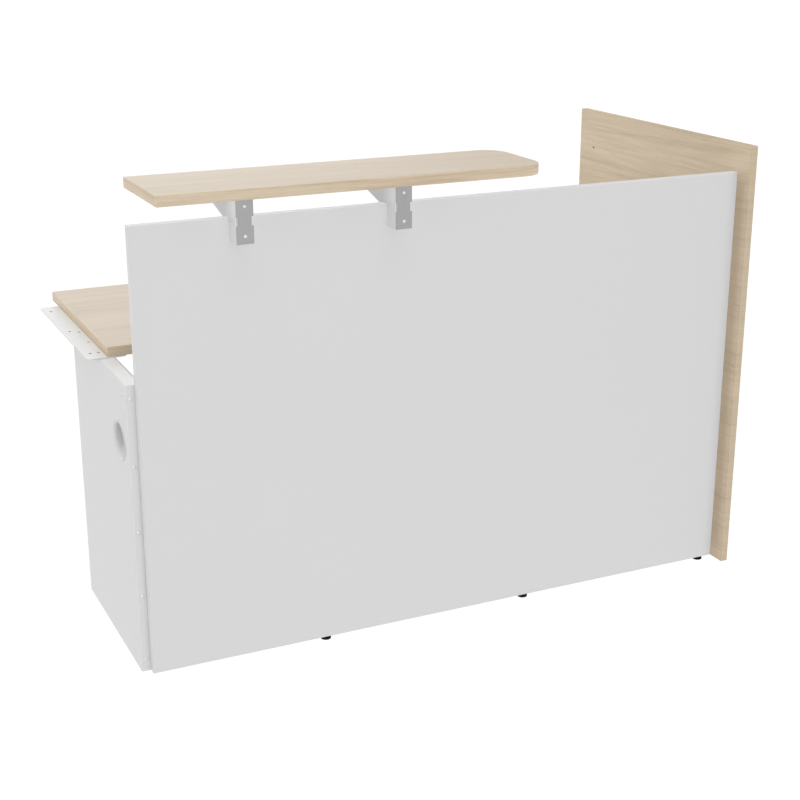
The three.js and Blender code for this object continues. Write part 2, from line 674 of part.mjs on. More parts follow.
function facePlate() {
  const plate = slab(rectangle(-bracketHalf, faceBottom, bracketHalf, faceTop), FACE_THICKNESS, 'xz');
  plate.translate(0, faceFront, 0);
  return cut(plate, [...notches(), ...faceScrewHoles()]);
}

['left', 'right'].forEach((name, i) => {
  const bracket = group(bracketPlaces[i], 0, 0);
  add(bracket, `counter_bracket_${name}`, bracketBody(), 'whiteSteel');
  add(bracket, `bracket_face_plate_${name}`, facePlate(), 'greySteel');
  ['lower', 'upper'].forEach((level, k) => {
    const faceScrew = `face_plate_screw_${name}_${level}`;
    const faceSeat = [0, faceFront, faceScrewHeights[k]];
    addScrew(bracket, faceScrew, MACHINE_SCREW, MACHINE_LENGTH, 'zinc', faceSeat, FRONT);
    const tongueSeat = [0, tongueRear, tongueScrewHeights[k]];
    const grip = WOOD_GRIP + FIT + BRACKET_SHEET;
    addScrew(bracket, `bracket_panel_screw_${name}_${level}`, WOOD_SCREW, grip, 'zinc', tongueSeat, REAR);
  });
  ['front', 'rear'].forEach((end, k) => {
    const seat = [0, counterScrewPlaces[k], counterBottom - BRACKET_SHEET];
    const grip = WOOD_GRIP + BRACKET_SHEET;
    addScrew(bracket, `counter_screw_${name}_${end}`, WOOD_SCREW, grip, 'zinc', seat, DOWN);
  });
});

// Levelling feet: a black pad on a threaded stem, in an insert in a board's lower edge or a nut in the leg.
// Screwed right in, the pad meets the lower edge.

function foot() {
  const pad = FOOT_PAD / 2;
  const crown = FLOOR_GAP - FOOT_CROWN - SEAT;
  return lathe([
    [0, 0],
    [pad, 0],
    ...arcPoints(pad - FOOT_CROWN, crown, FOOT_CROWN, 0, Math.PI / 2, 2),
    [FOOT_STEM / 2, FLOOR_GAP - SEAT],
    [FOOT_STEM / 2, FLOOR_GAP + FOOT_STEM_LENGTH],
    [0, FLOOR_GAP + FOOT_STEM_LENGTH],
  ], 16);
}

function footInsert() {
  const thread = FOOT_STEM / 2 + FIT;
  const [inner, outer, top] = [thread, insertOuter, insertLength];
  return lathe([[inner, 0], [outer, 0], [outer, top], [inner, top], [inner, 0]], 16);
}

function addFoot(name, x, y, insertName) {
  const mesh = add(desk, name, foot(), 'blackPlastic', [x, y, 0]);
  mesh.quaternion.setFromUnitVectors(TURNING_AXIS, UP);
  if (!insertName) return;
  const insert = add(desk, insertName, footInsert(), 'zinc', [x, y, FLOOR_GAP]);
  insert.quaternion.setFromUnitVectors(TURNING_AXIS, UP);
}

panelFootPlaces.forEach((x, i) => {
  addFoot(`panel_foot_${i + 1}`, x, PANEL_THICKNESS / 2, `panel_foot_insert_${i + 1}`);
});
['front', 'rear'].forEach((end, i) => {
  addFoot(`end_foot_${end}`, endMiddle, endFootPlaces[i], `end_foot_insert_${end}`);
  addFoot(`leg_foot_${end}`, 0, PANEL_THICKNESS + legFootPlaces[i]);
});

// The origin is on the floor, below the middle of the desk's outer sizes.
const rightmost = endMiddle + Math.max(END_THICKNESS, FOOT_PAD) / 2;
const rearmost = Math.max(deskFront + DESK_DEPTH, endRear);
const frontmost = -Math.max(COUNTER_OVERHANG, END_OVERHANG);
desk.position.set((linkHalf - rightmost) / 2, -(frontmost + rearmost) / 2, 0);

export default desk;
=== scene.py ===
# %% [markdown]
# # A reception desk, dressed in Blender
# The desk is the right-hand end unit of a modular range. A white front panel and a taller wood-decor end
# panel stand on levelling feet, a counter stands on two steel brackets, and the desktop lies on a hollow
# steel leg. The CAD model is loaded as a fixed frame of named solids, and each solid is then dressed in
# place: boards get edge bands and grain, folded sheets get soft edges and powder coat, screws and feet
# get their real forms. Sizes are in metres, x runs to the visitor's right and y away from the visitor.

# %% Load the frame
import json
import math

import bmesh
import bpy
from mathutils import Matrix, Vector


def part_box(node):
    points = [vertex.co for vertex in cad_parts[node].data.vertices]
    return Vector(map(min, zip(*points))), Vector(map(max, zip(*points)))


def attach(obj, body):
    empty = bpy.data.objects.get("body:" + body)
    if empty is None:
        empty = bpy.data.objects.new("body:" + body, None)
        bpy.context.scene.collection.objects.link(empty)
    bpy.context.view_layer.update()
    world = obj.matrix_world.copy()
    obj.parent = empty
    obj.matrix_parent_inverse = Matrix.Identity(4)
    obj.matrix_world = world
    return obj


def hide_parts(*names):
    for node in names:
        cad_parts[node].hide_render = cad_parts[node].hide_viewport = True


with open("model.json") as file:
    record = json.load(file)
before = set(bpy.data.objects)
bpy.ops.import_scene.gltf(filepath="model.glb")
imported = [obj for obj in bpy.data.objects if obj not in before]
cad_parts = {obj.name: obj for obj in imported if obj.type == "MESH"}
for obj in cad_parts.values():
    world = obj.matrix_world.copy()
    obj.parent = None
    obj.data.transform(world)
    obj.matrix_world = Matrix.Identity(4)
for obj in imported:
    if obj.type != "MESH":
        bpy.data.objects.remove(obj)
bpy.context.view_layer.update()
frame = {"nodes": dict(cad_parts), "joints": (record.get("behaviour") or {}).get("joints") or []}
MM = 0.001

# %% [markdown]
# ## Camera
# The camera stands where the photographer's did: at eye height, in front of the desk and to its left. Its
# place was worked out from the edges and corners of the boards, so nothing is shifted or cropped to make
# the picture fit.

# %% Camera
CAMERA_PLACE = Vector((-1.575956, -3.446715, 1.731718))
CAMERA_FORWARD = Vector((0.40149, 0.85909, -0.31744))
CAMERA_LENS = 66.54
CAMERA_SENSOR = 36.0

camera_data = bpy.data.cameras.new("camera")
camera_data.lens = CAMERA_LENS
camera_data.sensor_width = CAMERA_SENSOR
camera = bpy.data.objects.new("camera", camera_data)
camera.location = CAMERA_PLACE
camera.rotation_euler = CAMERA_FORWARD.to_track_quat("-Z", "Y").to_euler()
bpy.context.scene.collection.objects.link(camera)
bpy.context.scene.camera = camera
print("camera:", CAMERA_LENS, "mm lens")

# %% [markdown]
# ## Nodes as Python
# Shader and shape nodes could be linked one line at a time, but sums are easier to read as sums. `Value`
# wraps a socket and overloads the operators, so `1 - mask * 0.5` adds its own Math nodes. `Graph.node`
# makes any other node: first its settings, which may change its sockets, then the values or links of its
# inputs.


# %% Graphs and values
class Value:
    """An output socket that can be used in Python sums."""

    def __init__(self, graph, socket):
        self.graph = graph
        self.socket = socket

    def math(self, operation, *operands):
        return self.graph.node("ShaderNodeMath", {"operation": operation}, dict(enumerate(operands)))

    def __add__(self, other):
        return self.math("ADD", self, other)

    def __radd__(self, other):
        return self.math("ADD", other, self)

    def __sub__(self, other):
        return self.math("SUBTRACT", self, other)

    def __rsub__(self, other):
        return self.math("SUBTRACT", other, self)

    def __mul__(self, other):
        return self.math("MULTIPLY", self, other)

    def __rmul__(self, other):
        return self.math("MULTIPLY", other, self)

    def __truediv__(self, other):
        return self.math("DIVIDE", self, other)

    def __rtruediv__(self, other):
        return self.math("DIVIDE", other, self)


class Graph:
    """A node tree that grows by method calls."""

    def __init__(self, tree):
        self.tree = tree
        self.nodes = tree.nodes
        self.links = tree.links

    def feed(self, socket, value):
        if isinstance(value, Value):
            self.links.new(value.socket, socket)
        else:
            socket.default_value = value

    def node(self, kind, settings, inputs, output=0):
        made = self.nodes.new(kind)
        for key, setting in settings.items():
            setattr(made, key, setting)
        for key, value in inputs.items():
            self.feed(made.inputs[key], value)
        return Value(self, made.outputs[output])

    def point(self, x, y, z):
        return self.node("ShaderNodeCombineXYZ", {}, {"X": x, "Y": y, "Z": z})

    def parts(self, vector):
        split = self.node("ShaderNodeSeparateXYZ", {}, {"Vector": vector}).socket.node
        return [Value(self, socket) for socket in split.outputs]


print("graphs: sums of sockets add their own Math nodes")


# %% [markdown]
# ## Finishes
# A finish is a material with one Principled shader. Patterns come from noise on Object coordinates, which
# are the frame's own metres here, so a noise that is scaled by 600 has about 600 lumps in a metre.


# %% Finish helper
class Finish(Graph):
    """A material whose surface is made by method calls."""

    def __init__(self, name):
        self.material = bpy.data.materials.new(name)
        self.material.use_nodes = True
        super().__init__(self.material.node_tree)
        self.shader = self.nodes["Principled BSDF"]

    def surface(self, sockets):
        for name, value in sockets.items():
            self.feed(self.shader.inputs[name], value)
        print("finish:", self.material.name, "with", len(self.nodes), "nodes")
        return self.material

    def here(self):
        return self.node("ShaderNodeTexCoord", {}, {}, "Object")

    def place(self, scale):
        return self.node("ShaderNodeMapping", {}, {"Vector": self.here(), "Scale": scale})

    def noise(self, place, detail=2.0, roughness=0.5):
        inputs = {"Vector": place, "Scale": 1.0, "Detail": detail, "Roughness": roughness}
        return self.node("ShaderNodeTexNoise", {"noise_dimensions": "3D"}, inputs)

    def step(self, value, low, high):
        inputs = {"Value": value, "From Min": low, "From Max": high}
        return self.node("ShaderNodeMapRange", {"interpolation_type": "SMOOTHSTEP"}, inputs)

    def blend(self, share, first, second):
        """Mixes two colours. A Mix node takes colours at its sockets 6 and 7 and gives one at 2."""
        inputs = {0: share, 6: first, 7: second}
        return self.node("ShaderNodeMix", {"data_type": "RGBA"}, inputs, 2)

    def bump(self, height, strength, distance):
        inputs = {"Height": height, "Strength": strength, "Distance": distance}
        return self.node("ShaderNodeBump", {}, inputs)


def rgb(red, green, blue):
    return (red, green, blue, 1.0)


def grey(value):
    return rgb(value, value, value)


print("finishes: patterns are laid in metres")


# %% [markdown]
# ## Studio
# The photo was taken in an even white studio, and nothing in it throws a clear shadow. A white sky alone
# would darken every corner, because a corner sees less of the sky, and in a studio with white walls some
# light reaches the corners too. So the sky gives less than half, and very soft suns give the rest, one
# from each side. The top sun throws no shadow, so that edges under the counter stay as light as they are
# in the photo. The floor glows white for the camera. It is hidden from diffuse light and throws no
# shadow, so that light from below is the sky's and the suns'. It lies just under the lowest reach of the
# feet, so that they also show screwed out.

# %% Sky, suns and floor
SKY_SHARE = 0.40
SUN_SPREAD = math.radians(60)
SUNS = {
    "front": ((0, -1, 0), 0.47, True),
    "rear": ((0, 1, 0), 0.45, True),
    "left": ((-1, 0, 0), 0.43, True),
    "right": ((1, 0, 0), 0.43, True),
    "top": ((0, 0, 1), 0.58, False),
}
FLOOR_GLOW = 0.93
FLOOR_WHITE = 0.1
FLOOR_HALF = 60.0
FLOOR_GAP = 0.2 * MM

scene = bpy.context.scene
scene.view_settings.view_transform = "Standard"
world = bpy.data.worlds.new("studio")
world.use_nodes = True
sky = Graph(world.node_tree)
seen = sky.node("ShaderNodeLightPath", {}, {}, "Is Camera Ray")
backdrop = sky.nodes["Background"]
sky.feed(backdrop.inputs["Color"], grey(1.0))
sky.feed(backdrop.inputs["Strength"], SKY_SHARE + (1.0 - SKY_SHARE) * seen)
scene.world = world

for side, (away, share, shadow) in SUNS.items():
    sun_data = bpy.data.lights.new("sun_" + side, "SUN")
    sun_data.energy = math.pi * share
    sun_data.angle = SUN_SPREAD
    sun_data.use_shadow = shadow
    sun = bpy.data.objects.new("sun_" + side, sun_data)
    sun.rotation_euler = Vector(away).to_track_quat("Z", "Y").to_euler()
    scene.collection.objects.link(sun)

floor_paint = Finish("floor paint").surface({
    "Base Color": grey(FLOOR_WHITE),
    "Roughness": 1.0,
    "Specular IOR Level": 0.0,
    "Emission Color": grey(1.0),
    "Emission Strength": FLOOR_GLOW,
})
foot_reach = max(joint["range_m"][1] for joint in frame["joints"])
floor_height = -foot_reach - FLOOR_GAP
floor_signs = [(-1, -1), (1, -1), (1, 1), (-1, 1)]
floor_corners = [(x * FLOOR_HALF, y * FLOOR_HALF, floor_height) for x, y in floor_signs]
floor_mesh = bpy.data.meshes.new("floor")
floor_mesh.from_pydata(floor_corners, [], [(0, 1, 2, 3)])
floor_mesh.materials.append(floor_paint)
floor = bpy.data.objects.new("floor", floor_mesh)
floor.visible_diffuse = False
floor.visible_shadow = False
scene.collection.objects.link(floor)
print("studio:", len(SUNS), "suns and a floor of", 2 * FLOOR_HALF, "m")

# %% [markdown]
# ## White finishes
# The front panel is melamine-faced board: a hard white skin with a very fine pearl texture. The leg, the
# link plate, the angles and the brackets are powder-coated steel, whose paint melts into an orange-peel
# skin. The cable port is moulded plastic. All three are white, so the difference is in gloss and in the
# size of the bumps, and a broad, faint cloud keeps large faces from looking computed. The brackets get a
# lighter white than the leg, which is painted light against the shade around them, and their arms turn
# greyer to the rear under the counter, which is painted shade.


# %% White finishes
LACQUER_IOR = 1.46
WHITE_SPECULAR = 0.25
CLOUD_SCALE = 2.2
CLOUD_WARMTH = 0.996
CLOUD_ROUGHNESS = 0.04
PEEL_ROUGHNESS = 0.06
PEEL_STRENGTH = 0.12
# Where the painted shade on the brackets' arms begins and ends, to the rear and below the panel's top.
ARM_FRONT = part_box("counter_bracket_left")[0].y
ARM_SHADE_START, ARM_SHADE_END = 10.0 * MM, 85.0 * MM
ARM_SHADE_FOOT = 15.0 * MM
PANEL_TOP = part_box("front_panel")[1].z


def white_finish(name, white, cloud_share, peel_scale, peel_depth, roughness, painted_shade_white=None):
    finish = Finish(name)
    cloud = finish.noise(finish.place([CLOUD_SCALE] * 3), detail=3.0)
    peel = finish.noise(finish.place([peel_scale] * 3), detail=1.0)
    dim = white * (1.0 - cloud_share)
    colour = finish.blend(cloud, rgb(dim, dim, dim * CLOUD_WARMTH), grey(white))
    # Painted shade: the coat turns greyer to the rear of the arms, above the panel's top, under the
    # counter.
    if painted_shade_white:
        _, y, z = finish.parts(finish.here())
        rear = finish.step(y, ARM_FRONT + ARM_SHADE_START, ARM_FRONT + ARM_SHADE_END)
        arm = finish.step(z, PANEL_TOP - ARM_SHADE_FOOT, PANEL_TOP)
        colour = finish.blend(rear * arm, colour, grey(painted_shade_white))
    return finish.surface({
        "Base Color": colour,
        "Roughness": roughness + PEEL_ROUGHNESS * (peel - 0.5) + CLOUD_ROUGHNESS * (cloud - 0.5),
        "IOR": LACQUER_IOR,
        "Specular IOR Level": WHITE_SPECULAR,
        "Normal": finish.bump(peel, PEEL_STRENGTH, peel_depth),
    })


PEARL = {"cloud_share": 0.02, "peel_scale": 900.0, "peel_depth": 0.03 * MM, "roughness": 0.45}
ORANGE_PEEL = {"cloud_share": 0.02, "peel_scale": 520.0, "peel_depth": 0.06 * MM, "roughness": 0.40}
MOULD_SPARK = {"cloud_share": 0.03, "peel_scale": 1300.0, "peel_depth": 0.02 * MM, "roughness": 0.48}
white_melamine = white_finish("white melamine", white=0.640, **PEARL)
powder_coat = white_finish("white powder coat", white=0.635, **ORANGE_PEEL)
# The brackets' white is lighter than the leg's, painted light, and turns to painted shade at the rear.
bracket_coat_painted_light = white_finish("powder coat of the brackets", white=0.690, painted_shade_white=0.515, **ORANGE_PEEL)
white_plastic = white_finish("white moulded plastic", white=0.600, **MOULD_SPARK)

# %% [markdown]
# ## Metal and black finishes
# The face plates are brushed grey steel, so their noise is stretched along the brushing. The screws and
# inserts are zinc plated, which shows as small crystals of slightly different grey. The flush screws have
# a duller plating. The tapped holes of the link plate are bare steel coloured near black, which is
# painted shade. The pads of the feet are black plastic.


# %% Metal and black finishes
BRUSHING_SCALE = (1400.0, 1400.0, 24.0)
BRUSHING_SHARE = 0.7
BRUSHING_STRENGTH, BRUSHING_DEPTH = 0.1, 0.02 * MM
STAIN_SCALE = 30.0
CRYSTAL_SCALE = 1100.0
CRYSTAL_ROUGHNESS = 0.12
MOULD_SCALE = 1600.0
MOULD_STRENGTH, MOULD_DEPTH = 0.2, 0.04 * MM


def brushed_steel(name, dark, light):
    finish = Finish(name)
    brushed = finish.noise(finish.place(BRUSHING_SCALE), detail=3.0)
    stain = finish.noise(finish.place([STAIN_SCALE] * 3))
    share = BRUSHING_SHARE * brushed + (1.0 - BRUSHING_SHARE) * stain
    return finish.surface({
        "Base Color": finish.blend(share, grey(dark), grey(light)),
        "Metallic": 0.85,
        "Roughness": 0.32 + 0.16 * brushed,
        "Normal": finish.bump(brushed, BRUSHING_STRENGTH, BRUSHING_DEPTH),
    })


def plated_steel(name, dark, light, metallic, roughness):
    finish = Finish(name)
    settings = {"voronoi_dimensions": "3D", "feature": "F1"}
    place = finish.place([CRYSTAL_SCALE] * 3)
    crystals = finish.node("ShaderNodeTexVoronoi", settings, {"Vector": place, "Scale": 1.0}, "Color")
    share = finish.parts(crystals)[0]
    return finish.surface({
        "Base Color": finish.blend(share, dark, light),
        "Metallic": metallic,
        "Roughness": roughness + CRYSTAL_ROUGHNESS * share,
    })


def black_moulding(name, dark, light, specular):
    finish = Finish(name)
    peel = finish.noise(finish.place([MOULD_SCALE] * 3), detail=2.0)
    return finish.surface({
        "Base Color": finish.blend(peel, grey(dark), grey(light)),
        "Roughness": 0.45 + 0.2 * peel,
        "Specular IOR Level": specular,
        "Normal": finish.bump(peel, MOULD_STRENGTH, MOULD_DEPTH),
    })


grey_steel = brushed_steel("brushed grey steel", dark=0.27, light=0.35)
zinc = plated_steel(
    "zinc plating", dark=rgb(0.62, 0.62, 0.61), light=rgb(0.76, 0.76, 0.75),
    metallic=0.9, roughness=0.30
)
dull_zinc = plated_steel(
    "dull zinc plating", dark=rgb(0.24, 0.24, 0.23), light=rgb(0.36, 0.35, 0.33),
    metallic=0.7, roughness=0.40
)
# Near-black steel for the tapped holes: bare steel darkened as painted shade.
dark_steel_painted_shade = plated_steel(
    "bare steel of the tapped holes", dark=grey(0.02), light=grey(0.05), metallic=0.6, roughness=0.45
)
black_plastic = black_moulding("black moulded plastic", dark=0.003, light=0.008, specular=0.06)

# %% [markdown]
# ## Wood decor
# The counter, the desktop and the end panel wear a printed pale oak. A print could be an image, but a
# pattern of noise has no edge and no repeats. Growth is drawn in layers, each stretched along the grain:
# broad bands, streaks, fine lines and pores. A slow wander bends them together. Each layer has its lumps
# in a metre along and across the grain, and a seed, which is its own level in the noise.

# %% Wood decor
WOOD_LIGHT = (0.665, 0.553, 0.412)
WOOD_MIDDLE = (0.595, 0.480, 0.342)
WOOD_DARK = (0.500, 0.388, 0.260)
BROAD_BANDS = {"along": 0.8, "across": 13.0, "seed": 4.1, "detail": 2.0}
STREAKS = {"along": 2.4, "across": 75.0, "seed": 9.3, "detail": 3.0}
FINE_LINES = {"along": 7.0, "across": 340.0, "seed": 5.9, "detail": 2.0}
PORES = {"along": 55.0, "across": 1500.0, "seed": 2.6, "detail": 1.0}
WANDER = {"along": 1.6, "across": 7.0, "seed": 1.7, "detail": 2.0}
WANDER_SWING = 18.0 * MM
BROAD_SHARE, STREAK_SHARE, FINE_SHARE = 0.60, 0.90, 0.70
LIT_GROWTH = (0.48, 0.80)
SHADED_GROWTH = (0.20, 0.52)
OPEN_PORES = (0.60, 0.72)
PORE_SHARE = 0.55
PORE_TONE = 0.86
PORE_STRENGTH = 0.15
PORE_DEPTH = 0.05 * MM
WOOD_ROUGHNESS, STREAK_ROUGHNESS, PORE_ROUGHNESS = 0.46, 0.10, 0.10


def toned(colour, tone):
    return rgb(*[channel * tone for channel in colour])


def grain_layer(finish, along, across, layer):
    place = finish.point(along * layer["along"], across * layer["across"], layer["seed"])
    return finish.noise(place, detail=layer["detail"])


def wood_colour(finish, along, across, tone):
    """The printed decor at a place, with the streaks and the share of open pores for the gloss."""
    wander = grain_layer(finish, along, across, WANDER) - 0.5
    line = across + wander * WANDER_SWING
    broad = grain_layer(finish, along, line, BROAD_BANDS)
    streak = grain_layer(finish, along, line, STREAKS)
    fine = grain_layer(finish, along, line, FINE_LINES)
    pore = grain_layer(finish, along, line, PORES)
    growth = 0.5 + BROAD_SHARE * (broad - 0.5) + STREAK_SHARE * (streak - 0.5) + FINE_SHARE * (fine - 0.5)
    lit = finish.step(growth, *LIT_GROWTH)
    shaded = 1.0 - finish.step(growth, *SHADED_GROWTH)
    colour = finish.blend(lit, toned(WOOD_MIDDLE, tone), toned(WOOD_LIGHT, tone))
    colour = finish.blend(shaded, colour, toned(WOOD_DARK, tone))
    open_pore = finish.step(pore, *OPEN_PORES) * PORE_SHARE
    colour = finish.blend(open_pore, colour, toned(WOOD_DARK, tone * PORE_TONE))
    return colour, streak, open_pore


def wood_surface(finish, colour, streak, open_pore):
    return finish.surface({
        "Base Color": colour,
        "Roughness": WOOD_ROUGHNESS + STREAK_ROUGHNESS * streak + PORE_ROUGHNESS * open_pore,
        "IOR": LACQUER_IOR,
        "Normal": finish.bump(1.0 - open_pore, PORE_STRENGTH, PORE_DEPTH),
    })


print("wood: grain in five layers")

# %% [markdown]
# ## Wood of the tops
# On the counter and the desktop the layers follow a UV map in metres, so that the pattern of an edge band
# runs round the corners. A band never quite matches its board. The faces of the tops are blended with a
# pale grey-beige: a painted sheen, the reflection of a white sky at a low angle, which leaves the bands
# out. The UV map sets the bands apart by a long shift, which the material can ask for.

# %% Wood of the tops
BAND_SHIFT = 3.7
TOP_TONE = 0.97
# A pale grey-beige painted sheen on the faces of the tops.
TOP_PAINTED_SHEEN = rgb(0.475, 0.441, 0.392)
TOP_PAINTED_SHEEN_SHARE = 0.45


def wood_of_tops(name):
    finish = Finish(name)
    along, across, _ = finish.parts(finish.node("ShaderNodeUVMap", {"uv_map": "grain"}, {}))
    colour, streak, open_pore = wood_colour(finish, along, across, TOP_TONE)
    # Painted sheen: the faces of the tops, not their bands, are blended with a pale grey-beige.
    on_face = across.math("LESS_THAN", across, BAND_SHIFT / 2)
    with_painted_sheen = finish.blend(TOP_PAINTED_SHEEN_SHARE * on_face, colour, TOP_PAINTED_SHEEN)
    return wood_surface(finish, with_painted_sheen, streak, open_pore)


top_decor = wood_of_tops("wood decor of the tops")

# %% [markdown]
# ## Wood of the end panel
# On the end panel the grain lies level and crosses the front edge, so the layers follow Object
# coordinates. The band is a little darker than the faces. In the corner in front of the white panel the
# decor turns browner: this is painted shade where the two panels meet, and it fades towards the front
# edge, the white panel's top and the floor. There is one small knot near the panel's top, in the decor.

# %% Wood of the end panel
END_TONE = 0.98
END_BAND = rgb(0.440, 0.345, 0.235)
END_BAND_SHARE = 0.5
END_FACE, END_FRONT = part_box("end_panel")[0].xy
PANEL_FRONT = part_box("front_panel")[0].y
# Reach of the painted shade in the corner in front of the white panel.
CORNER_START, CORNER_END = 0.10, 0.65
CORNER_REACH = 5.0 * MM
CORNER_FADE = 40.0 * MM
CORNER_FOOT = 90.0 * MM
CORNER_SHADE_BROWN = rgb(0.330, 0.240, 0.150)
CORNER_SHADE_SHARE = 0.45
KNOT_ALONG, KNOT_UP = 0.305, 1.048
KNOT_STRETCH = 1.6
KNOT_CORE, KNOT_EDGE = 1.5 * MM, 5.0 * MM
KNOT_BROWN = rgb(0.250, 0.170, 0.100)


def painted_corner_shade(finish, x, y, z):
    """The mask of the painted shade in the corner in front of the panel, from 0 to 1."""
    depth = PANEL_FRONT - END_FRONT
    deep = finish.step(y, END_FRONT + CORNER_START * depth, END_FRONT + CORNER_END * depth)
    in_front = y.math("LESS_THAN", y, PANEL_FRONT + CORNER_REACH)
    inside = x.math("LESS_THAN", x, END_FACE + CORNER_REACH)
    below = 1.0 - finish.step(z, PANEL_TOP - CORNER_FADE, PANEL_TOP)
    above = finish.step(z, 0.0, CORNER_FOOT)
    return deep * in_front * inside * below * above


def wood_of_end(name):
    finish = Finish(name)
    x, y, z = finish.parts(finish.here())
    colour, streak, open_pore = wood_colour(finish, y + x, z, END_TONE)
    _, across, _ = finish.parts(finish.node("ShaderNodeUVMap", {"uv_map": "grain"}, {}))
    on_band = across.math("GREATER_THAN", across, BAND_SHIFT / 2)
    banded = finish.blend(END_BAND_SHARE * on_band, colour, END_BAND)
    # Painted shade: the decor turns browner in the corner in front of the white panel.
    shaded = finish.blend(CORNER_SHADE_SHARE * painted_corner_shade(finish, x, y, z), banded, CORNER_SHADE_BROWN)
    off_knot = finish.point(x - END_FACE, (y - KNOT_ALONG) / KNOT_STRETCH, z - KNOT_UP)
    from_knot = finish.node("ShaderNodeVectorMath", {"operation": "LENGTH"}, {0: off_knot}, "Value")
    knot = 1.0 - finish.step(from_knot, KNOT_CORE, KNOT_EDGE)
    return wood_surface(finish, finish.blend(knot, shaded, KNOT_BROWN), streak, open_pore)


end_decor = wood_of_end("wood decor of the end panel")

# %% [markdown]
# ## From rings to meshes
# Most pieces here are rings of points joined by faces: a screw is turned, and a board is the same outline
# drawn larger and smaller through its thickness. `turned` makes the rings of a lathe, and `loft` joins
# rings, and closes both ends or joins the last ring to the first.


# %% Rings and meshes
def loft(rings, loop=False):
    form = bmesh.new()
    rows = [[form.verts.new(point) for point in ring] for ring in rings]
    pairs = list(zip(rows, rows[1:]))
    if loop:
        pairs.append((rows[-1], rows[0]))
    count = len(rows[0])
    for low, high in pairs:
        for i in range(count):
            j = (i + 1) % count
            form.faces.new((low[i], low[j], high[j], high[i]))
    if not loop:
        form.faces.new(rows[0])
        form.faces.new(rows[-1])
    return form


def mesh_of(name, form):
    bmesh.ops.recalc_face_normals(form, faces=form.faces)
    mesh = bpy.data.meshes.new(name)
    form.to_mesh(mesh)
    form.free()
    return mesh


def turned(profile, segments):
    """Rings round z for a profile of radii and heights. A radius may be a function of the angle."""
    rings = []
    for radius, height in profile:
        ring = []
        for i in range(segments):
            angle = 2 * math.pi * i / segments
            reach = radius(angle) if callable(radius) else radius
            ring.append(Vector((reach * math.cos(angle), reach * math.sin(angle), height)))
        rings.append(ring)
    return rings


def aimed(direction, place):
    """Puts a shape that was made round z at a place, looking in a direction."""
    turn = Vector(direction).to_track_quat("Z", "Y").to_matrix().to_4x4()
    return Matrix.Translation(place) @ turn


print("lathe:", len(turned([(1.0, 0.0), (1.0, 1.0)], 8)), "rings for a profile of two points")

# %% [markdown]
# ## From meshes to pieces
# A mesh becomes a piece of the desk when an object carries it and sits on a body of the frame, and the
# CAD solids that it stands for are hidden. Modifiers could stay on the object, but a plain mesh is surer
# to look the same everywhere, so `bake` applies them. Edges flatter than a limit are shaded smooth.

# %% Pieces
SMOOTH_ANGLE = math.radians(38)


def smooth(mesh, angle=SMOOTH_ANGLE):
    mesh.shade_smooth()
    mesh.set_sharp_from_angle(angle=angle)


def add_object(name, mesh):
    made = bpy.data.objects.new(name, mesh)
    scene.collection.objects.link(made)
    return made


def bake(thing):
    """Turns an object's evaluated shape into its own plain mesh."""
    bpy.context.view_layer.update()
    graph = bpy.context.evaluated_depsgraph_get()
    raw = thing.data
    mesh = bpy.data.meshes.new_from_object(
        thing.evaluated_get(graph), preserve_all_data_layers=True, depsgraph=graph
    )
    thing.modifiers.clear()
    thing.data = mesh
    bpy.data.meshes.remove(raw)
    mesh.name = thing.name


def face_normals(thing):
    """Lets the large faces set the normals at soft edges, so that they stay flat to the eye."""
    weighted = thing.modifiers.new("large faces first", "WEIGHTED_NORMAL")
    weighted.mode = "FACE_AREA"
    weighted.keep_sharp = True


def add_piece(piece, finish, slot, body, *nodes):
    piece.data.materials.clear()
    piece.data.materials.append(finish)
    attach(piece, body)
    if nodes:
        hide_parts(*nodes)
    return piece


print("pieces: smooth up to", round(math.degrees(SMOOTH_ANGLE)), "degrees")

# %% [markdown]
# ## Boards
# A board of this kind is a chipboard core with a decor on both faces and a plastic band glued round its
# edges. The band is about 2 mm thick, its outer edge is rounded, and a hairline shows where it meets the
# face. A cube with a Bevel modifier would have no hairline, so the board is a loft: the outline is drawn
# at each depth of a small profile. While the rings are made, a UV map in metres is laid on them, flat on
# the faces and along the edge on the band, which is what the wood grain follows.

# %% Board helper
BAND = 2.0 * MM
HAIRLINE = 0.15 * MM
CORNER_STEPS = 12
ARRIS_STEPS = 4
SMALLEST_CORNER = 0.05 * MM


def board_outline(low, high, radii):
    """Points round a rectangle, starting at its lower left corner."""
    corners = [
        (low[0], low[1], 1, 1, 2),
        (high[0], low[1], -1, 1, 3),
        (high[0], high[1], -1, -1, 0),
        (low[0], high[1], 1, -1, 1),
    ]
    points = []
    for (u, v, inward_u, inward_v, quarter), radius in zip(corners, radii):
        for step in range(CORNER_STEPS + 1):
            angle = (quarter + step / CORNER_STEPS) * math.pi / 2
            middle = (u + inward_u * radius, v + inward_v * radius)
            points.append((middle[0] + radius * math.cos(angle), middle[1] + radius * math.sin(angle)))
    return points


def board_profile(thickness, arris):
    """Inset from the outline and depth below the face, from one face to the other."""
    face = [(BAND + HAIRLINE, 0.0), (BAND, HAIRLINE), (BAND - HAIRLINE, 0.0)]
    for step in range(ARRIS_STEPS + 1):
        angle = step / ARRIS_STEPS * math.pi / 2
        face.append((arris - arris * math.sin(angle), arris - arris * math.cos(angle)))
    return face + [(inset, thickness - depth) for inset, depth in reversed(face)]


